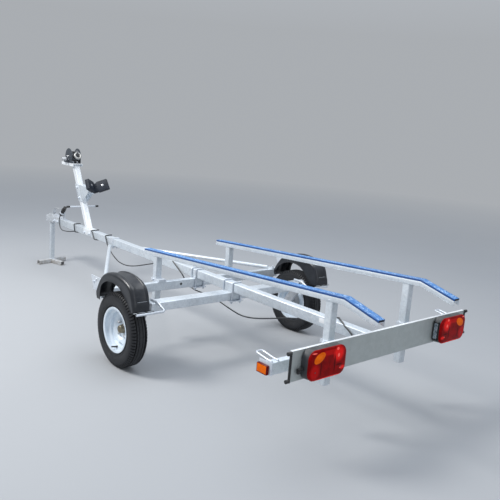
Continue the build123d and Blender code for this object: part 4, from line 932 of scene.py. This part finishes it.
turned("crossbeam_plugs", [
    ((238, 153, 392), (-1, 0, 0), HOLE_PLUG), *both_sides([((-167, 591, 412), (-1, 0, 0.3), END_PLUG)]),
], black_plastic)
turned("post_top_bolts", both_sides([
    ((x, 332, z), (0, 1, 0), DOME) for x, z in ((300.8, 601), (-1259.2, 692))
]), zinc_plate)
turned("bow_block_bolts", both_sides([
    ((1803.5, 51.4, 887.2), (-0.6975, -0.6023, 0.3882), PLATE_HEAD),
]), gear_steel)
turned("guard_lip_bolts", both_sides([
    ((-252, y, 405), (0, 0, 1), DOME) for y in (726, 782)
]), black_plastic)
turned("guard_bracket_bolts", both_sides([
    ((x, 794, z), (0, 1, 0), FLAT_HEAD) for x, z in ((262, 470), (232, 490))
]), zinc_plate, 16)
turned("board_connector", [
    ((-1409, 636, 452), (0, 1, -0.06), CONNECTOR), ((-1409, 661, 452), (0, 0.1, -1), CONNECTOR_TAIL),
], black_plastic)

# The bow stop's rubber web

bow_back = Vector((-cos(LEAN), 0, sin(LEAN)))
bow_up = Vector((sin(LEAN), 0, cos(LEAN)))


def bow_place(sign, along, near, high):
    """A place on the bow stop: along a plate from the vertex, out of its back, and up it."""
    out = (bow_back * 83 + Vector((0, sign * 110, 0)) + bow_up * 14).normalized()
    facing = (bow_back * 110 - Vector((0, sign * 83, 0))).normalized()
    rise = facing.cross(out) * -sign
    return at(*(Vector((1868, 0, 841)) + out * along + facing * near + rise * high))


def bow_centre():
    """The dark rubber web that joins the two plates at the vertex, ribbed down its middle."""
    shape = bmesh.new()
    for _, sign in SIDES:
        for half, near, far in ((41, 1.5, 27), (36, 27, 29.5)):
            outline = ((near, -half), (near, half), (far, half), (far, -half))
            first, second = [
                [shape.verts.new(bow_place(sign, along, deep, up)) for deep, up in outline]
                for along in (0.5, 39.7)
            ]
            shape.faces.new(first)
            shape.faces.new(second)
            join_rings(shape, first, second)
    solid_piece("bow_centre", shape, bow_rubber, edge=0.002)


bow_centre()

# Rear lamps

LAMP_Y, LAMP_Z = 513, 469.5
# Rounded oblongs from the board outwards: x, half the width, half the height, corner
HOUSING = (
    (-1397.4, 122.5, 71, 39), (-1399, 124.5, 73, 41), (-1434, 121.8, 71, 41), (-1436, 120.6, 69.8, 40),
    (-1437, 117, 66, 38),
)
LENS = (
    (-1436.2, 121.6, 70.4, 41), (-1437.4, 123.2, 72, 42), (-1441, 123.4, 72.2, 42), (-1445, 121.2, 70, 41),
    (-1447.6, 116, 65, 38), (-1448.6, 107, 57, 32), (-1448.9, 60, 26, 20),
)
# The slanting amber window: x and share of its size, then its middle, half its length and width, and its turn
AMBER = ((-1446.5, 1.0), (-1448.9, 1.0), (-1449.3, 0.92), (-1449.45, 0.6))
AMBER_Y, AMBER_Z, AMBER_LONG, AMBER_SHORT, AMBER_TURN = 573, 504, 37, 21.5, atan2(33, -68)


def oblong(x, half_y, half_z, corner):
    """Places round an oblong with rounded corners, on the left lamp."""
    places = []
    for turn, (i, j) in enumerate(((1, 1), (-1, 1), (-1, -1), (1, -1))):
        for step in range(CORNER_STEPS + 1):
            angle = (turn + step / CORNER_STEPS) * pi / 2
            y = LAMP_Y + i * (half_y - corner) + corner * cos(angle)
            places.append((x, y, LAMP_Z + j * (half_z - corner) + corner * sin(angle)))
    return places


def oval(x, share):
    """Places round the amber window, on the left lamp."""
    places = []
    for step in range(36):
        angle = step * pi / 18
        long, short = AMBER_LONG * share * cos(angle), AMBER_SHORT * share * sin(angle)
        y = AMBER_Y + long * cos(AMBER_TURN) - short * sin(AMBER_TURN)
        places.append((x, y, AMBER_Z + long * sin(AMBER_TURN) + short * cos(AMBER_TURN)))
    return places


def lamp_piece(name, rings, finish, node):
    """A closed loft through rings of places, on both lamps, that stands for a node."""
    shape = bmesh.new()
    for _, sign in SIDES:
        loops = [[shape.verts.new(at(x, sign * y, z)) for x, y, z in ring] for ring in rings]
        for first, second in zip(loops, loops[1:]):
            join_rings(shape, first, second)
        shape.faces.new(loops[0])
        shape.faces.new(loops[-1])
    made = solid_piece(name, shape, finish, corner_angle=38)
    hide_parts(node)


lamp_piece("lamp_housings", [oblong(*ring) for ring in HOUSING], housing_grey, "lamp_bodies")
lamp_piece("red_lenses", [oblong(*ring) for ring in LENS], lamp_red, "lamp_lenses")
lamp_piece("amber_windows", [oval(*ring) for ring in AMBER], lamp_amber, "lamp_ambers")
slabs("plate_light_frame", [
    ((-1433, -394, 419), (-1428, -385, 519)), ((-1405, -394, 419), (-1400, -385, 519)),
    ((-1433, -394, 513), (-1400, -385, 519)), ((-1433, -394, 419), (-1400, -385, 425)),
], black_plastic, 1.0)
slabs("plate_light_window", [((-1430, -393, 422), (-1403, -387, 516))], window_clear, 1.2)
slabs("blank_label", [((-978, 29.9, 443), (-938, 30.5, 470))], label_white, 0.2)

# The lamps' lead, which leaves the cable and crosses over the spine to the board

LEAD_RADIUS = 4.3
LEAD = (
    (-970, -35.5, 471.5), (-1000, -36, 475), (-1022, -34.2, 482), (-1034, -28, 485.5), (-1046, -18, 485),
    (-1075, 2, 485), (-1105, 22, 485), (-1118, 31.5, 484.4), (-1128, 35.5, 477), (-1150, 35.5, 466),
    (-1180, 35.5, 446), (-1205, 35.5, 428), (-1222, 32.6, 416.4), (-1240, 24, 410), (-1262, 18, 404),
    (-1300, 15, 403.5), (-1335, 15, 405), (-1362, 18, 418), (-1382, 22, 434), (-1393.2, 23, 437),
)


def lamp_lead():
    """A round lead on a smooth curve through its places."""
    curve = bpy.data.curves.new("lamp_lead", "CURVE")
    curve.dimensions = "3D"
    curve.bevel_depth = LEAD_RADIUS / 1000
    curve.bevel_resolution = 3
    curve.use_fill_caps = True
    run = curve.splines.new("BEZIER")
    run.resolution_u = 6
    run.bezier_points.add(len(LEAD) - 1)
    for point, place in zip(run.bezier_points, LEAD):
        point.co = at(*place)
        point.handle_left_type = point.handle_right_type = "AUTO"
    drawn = bpy.data.objects.new("lamp_lead_line", curve)
    add_piece("lamp_lead", bpy.data.meshes.new_from_object(drawn), cable_black)
    bpy.data.objects.remove(drawn)


lamp_lead()

# Weld beads


def weld_tree():
    """Overlapping scales along every edge of the given lines."""
    tree = GeometryTree("welds", ("Radius", "Step"))
    given = tree.given
    line = tree.node("GeometryNodeMeshToCurve", {}, {"Mesh": given["Mesh"]})
    spacing = {"Curve": line, "Length": given["Step"]}
    spots = tree.node("GeometryNodeResampleCurve", {"mode": "LENGTH"}, spacing)
    scale = tree.node("GeometryNodeMeshUVSphere", {}, {"Segments": 8, "Rings": 5, "Radius": given["Radius"]})
    tangent = tree.node("GeometryNodeInputTangent")
    squeezed = tree.node("ShaderNodeCombineXYZ", {}, {0: 1, 1: 1, 2: 0.75})
    tree.scatter(spots, scale, tangent, Scale=squeezed)
    return tree


welds = weld_tree()
# From one scale to the next, as a share of a bead's radius
WELD_STEP = 0.9


def weld(name, lines, radius, body="chassis"):
    """One piece of weld beads along lines of places counted from the wheels."""
    spots, edges = [], []
    for line in lines:
        first = len(spots)
        spots += [at(*place) for place in line]
        edges += [(n, n + 1) for n in range(first, len(spots) - 1)]
    mesh = bpy.data.meshes.new(name)
    mesh.from_pydata(spots, edges, [])
    welds.add(name, mesh, zinc_plate, body, Radius=radius, Step=radius * WELD_STEP)


def square_ring(x, z, half_x, half_y):
    """A closed line round an upright tube on the middle line."""
    return [(x + i * half_x, j * half_y, z) for i, j in ((-1, -1), (1, -1), (1, 1), (-1, 1), (-1, -1))]


POST_HALF, STAND_X, ARM_BOSS = 25.4, 2724, 22.8
weld("winch_post_welds", [
    square_ring(post_x(z), z, POST_HALF / cos(LEAN), POST_HALF) for z in (486.4, 1030.2)
], 3.2)
weld("marker_plate_welds", [
    [(x, sign * 739.8, 411), (x, sign * 739.8, 469)] for x in (-1321, -1283) for _, sign in SIDES
], 2.6)
weld("loop_welds", [
    [(x, sign * (y + across), 470.6) for x in (-1318, -1284)]
    for _, sign in SIDES for y in (699, 737) for across in (-3.4, 3.4)
], 2.2)
weld("bow_bracket_welds", [
    [(post_x(z) + edge, sign * 30.2, z) for z in (715, 856)] for _, sign in SIDES for edge in (-28, 28)
], 2.4)
weld("arm_welds", [
    [
        (ARM_BOSS * cos(n * pi / 12), sign * 658.4, WHEEL_Z + ARM_BOSS * sin(n * pi / 12)) for n in range(25)
    ] for _, sign in SIDES
], 2.8)
weld("stand_welds", [
    square_ring(STAND_X, z, half, half) for z, half in ((402.6, 20.6), (40.6, 20.2))
], 2.8, "stand")

# Floor, sky and lights

FLOOR_HALF = 60
ground = bpy.data.meshes.new("floor")
ground.from_pydata(
    [(i * FLOOR_HALF, j * FLOOR_HALF, 0) for i, j in ((-1, -1), (1, -1), (1, 1), (-1, 1))], [], [(0, 1, 2, 3)]
)
floor = new_object("floor", ground)
BACKDROP = (0.4, 0.42, 0.445)
pale = Finish("pale_floor", Roughness=0.9, Specular_IOR_Level=0.1)
away = (pale.axes[0] ** 2 + pale.axes[1] ** 2) ** 0.5
pale.set(Base_Color=pale.mix((0.4, 0.41, 0.42), (0.37, 0.38, 0.395), pale.noise(0.8, 4)))
far_glow = pale.node("ShaderNodeEmission", {}, {"Color": paint(BACKDROP)})
fade = pale.node("ShaderNodeMixShader", {}, {
    0: away.ramp(4.0, 14.0), 1: Value(pale, pale.shader.outputs[0]), 2: far_glow,
})
pale.feed(pale.tree.nodes["Material Output"].inputs["Surface"], fade)
ground.materials.append(pale.material)

world = bpy.data.worlds.new("studio")
bpy.context.scene.world = world
world.use_nodes = True
sky = Graph(world.node_tree)
height = sky.number(sky.node("ShaderNodeTexCoord", output="Generated"), 2)
blend = sky.mix(BACKDROP, (0.78, 0.86, 0.98), height.ramp(0.15, 0.9))
sky.feed(sky.tree.nodes["Background"].inputs["Color"], blend)

# Each light's name, place, aim, size in metres, power in watts and colour
for name, place, aim, size, power, colour in (
    ("key", (1.4, 3.6, 4.6), (0, 0, 0.4), 1.6, 265, (1.0, 0.985, 0.96)),
    ("top", (-0.8, -0.4, 4.6), (0, 0, 0.4), 3.5, 75, (0.96, 0.98, 1.0)),
    ("rear", (-4.6, 0.2, 1.9), (-0.6, 0, 0.45), 2.5, 14, (0.97, 0.985, 1.0)),
):
    lamp = new_object(name, bpy.data.lights.new(name, "AREA"))
    lamp.data.size = size
    lamp.data.energy = power
    lamp.data.color = colour
    lamp.location = place
    lamp.rotation_mode = "QUATERNION"
    lamp.rotation_quaternion = (Vector(aim) - Vector(place)).to_track_quat("-Z", "Y")

bpy.context.scene.view_settings.view_transform = "Standard"
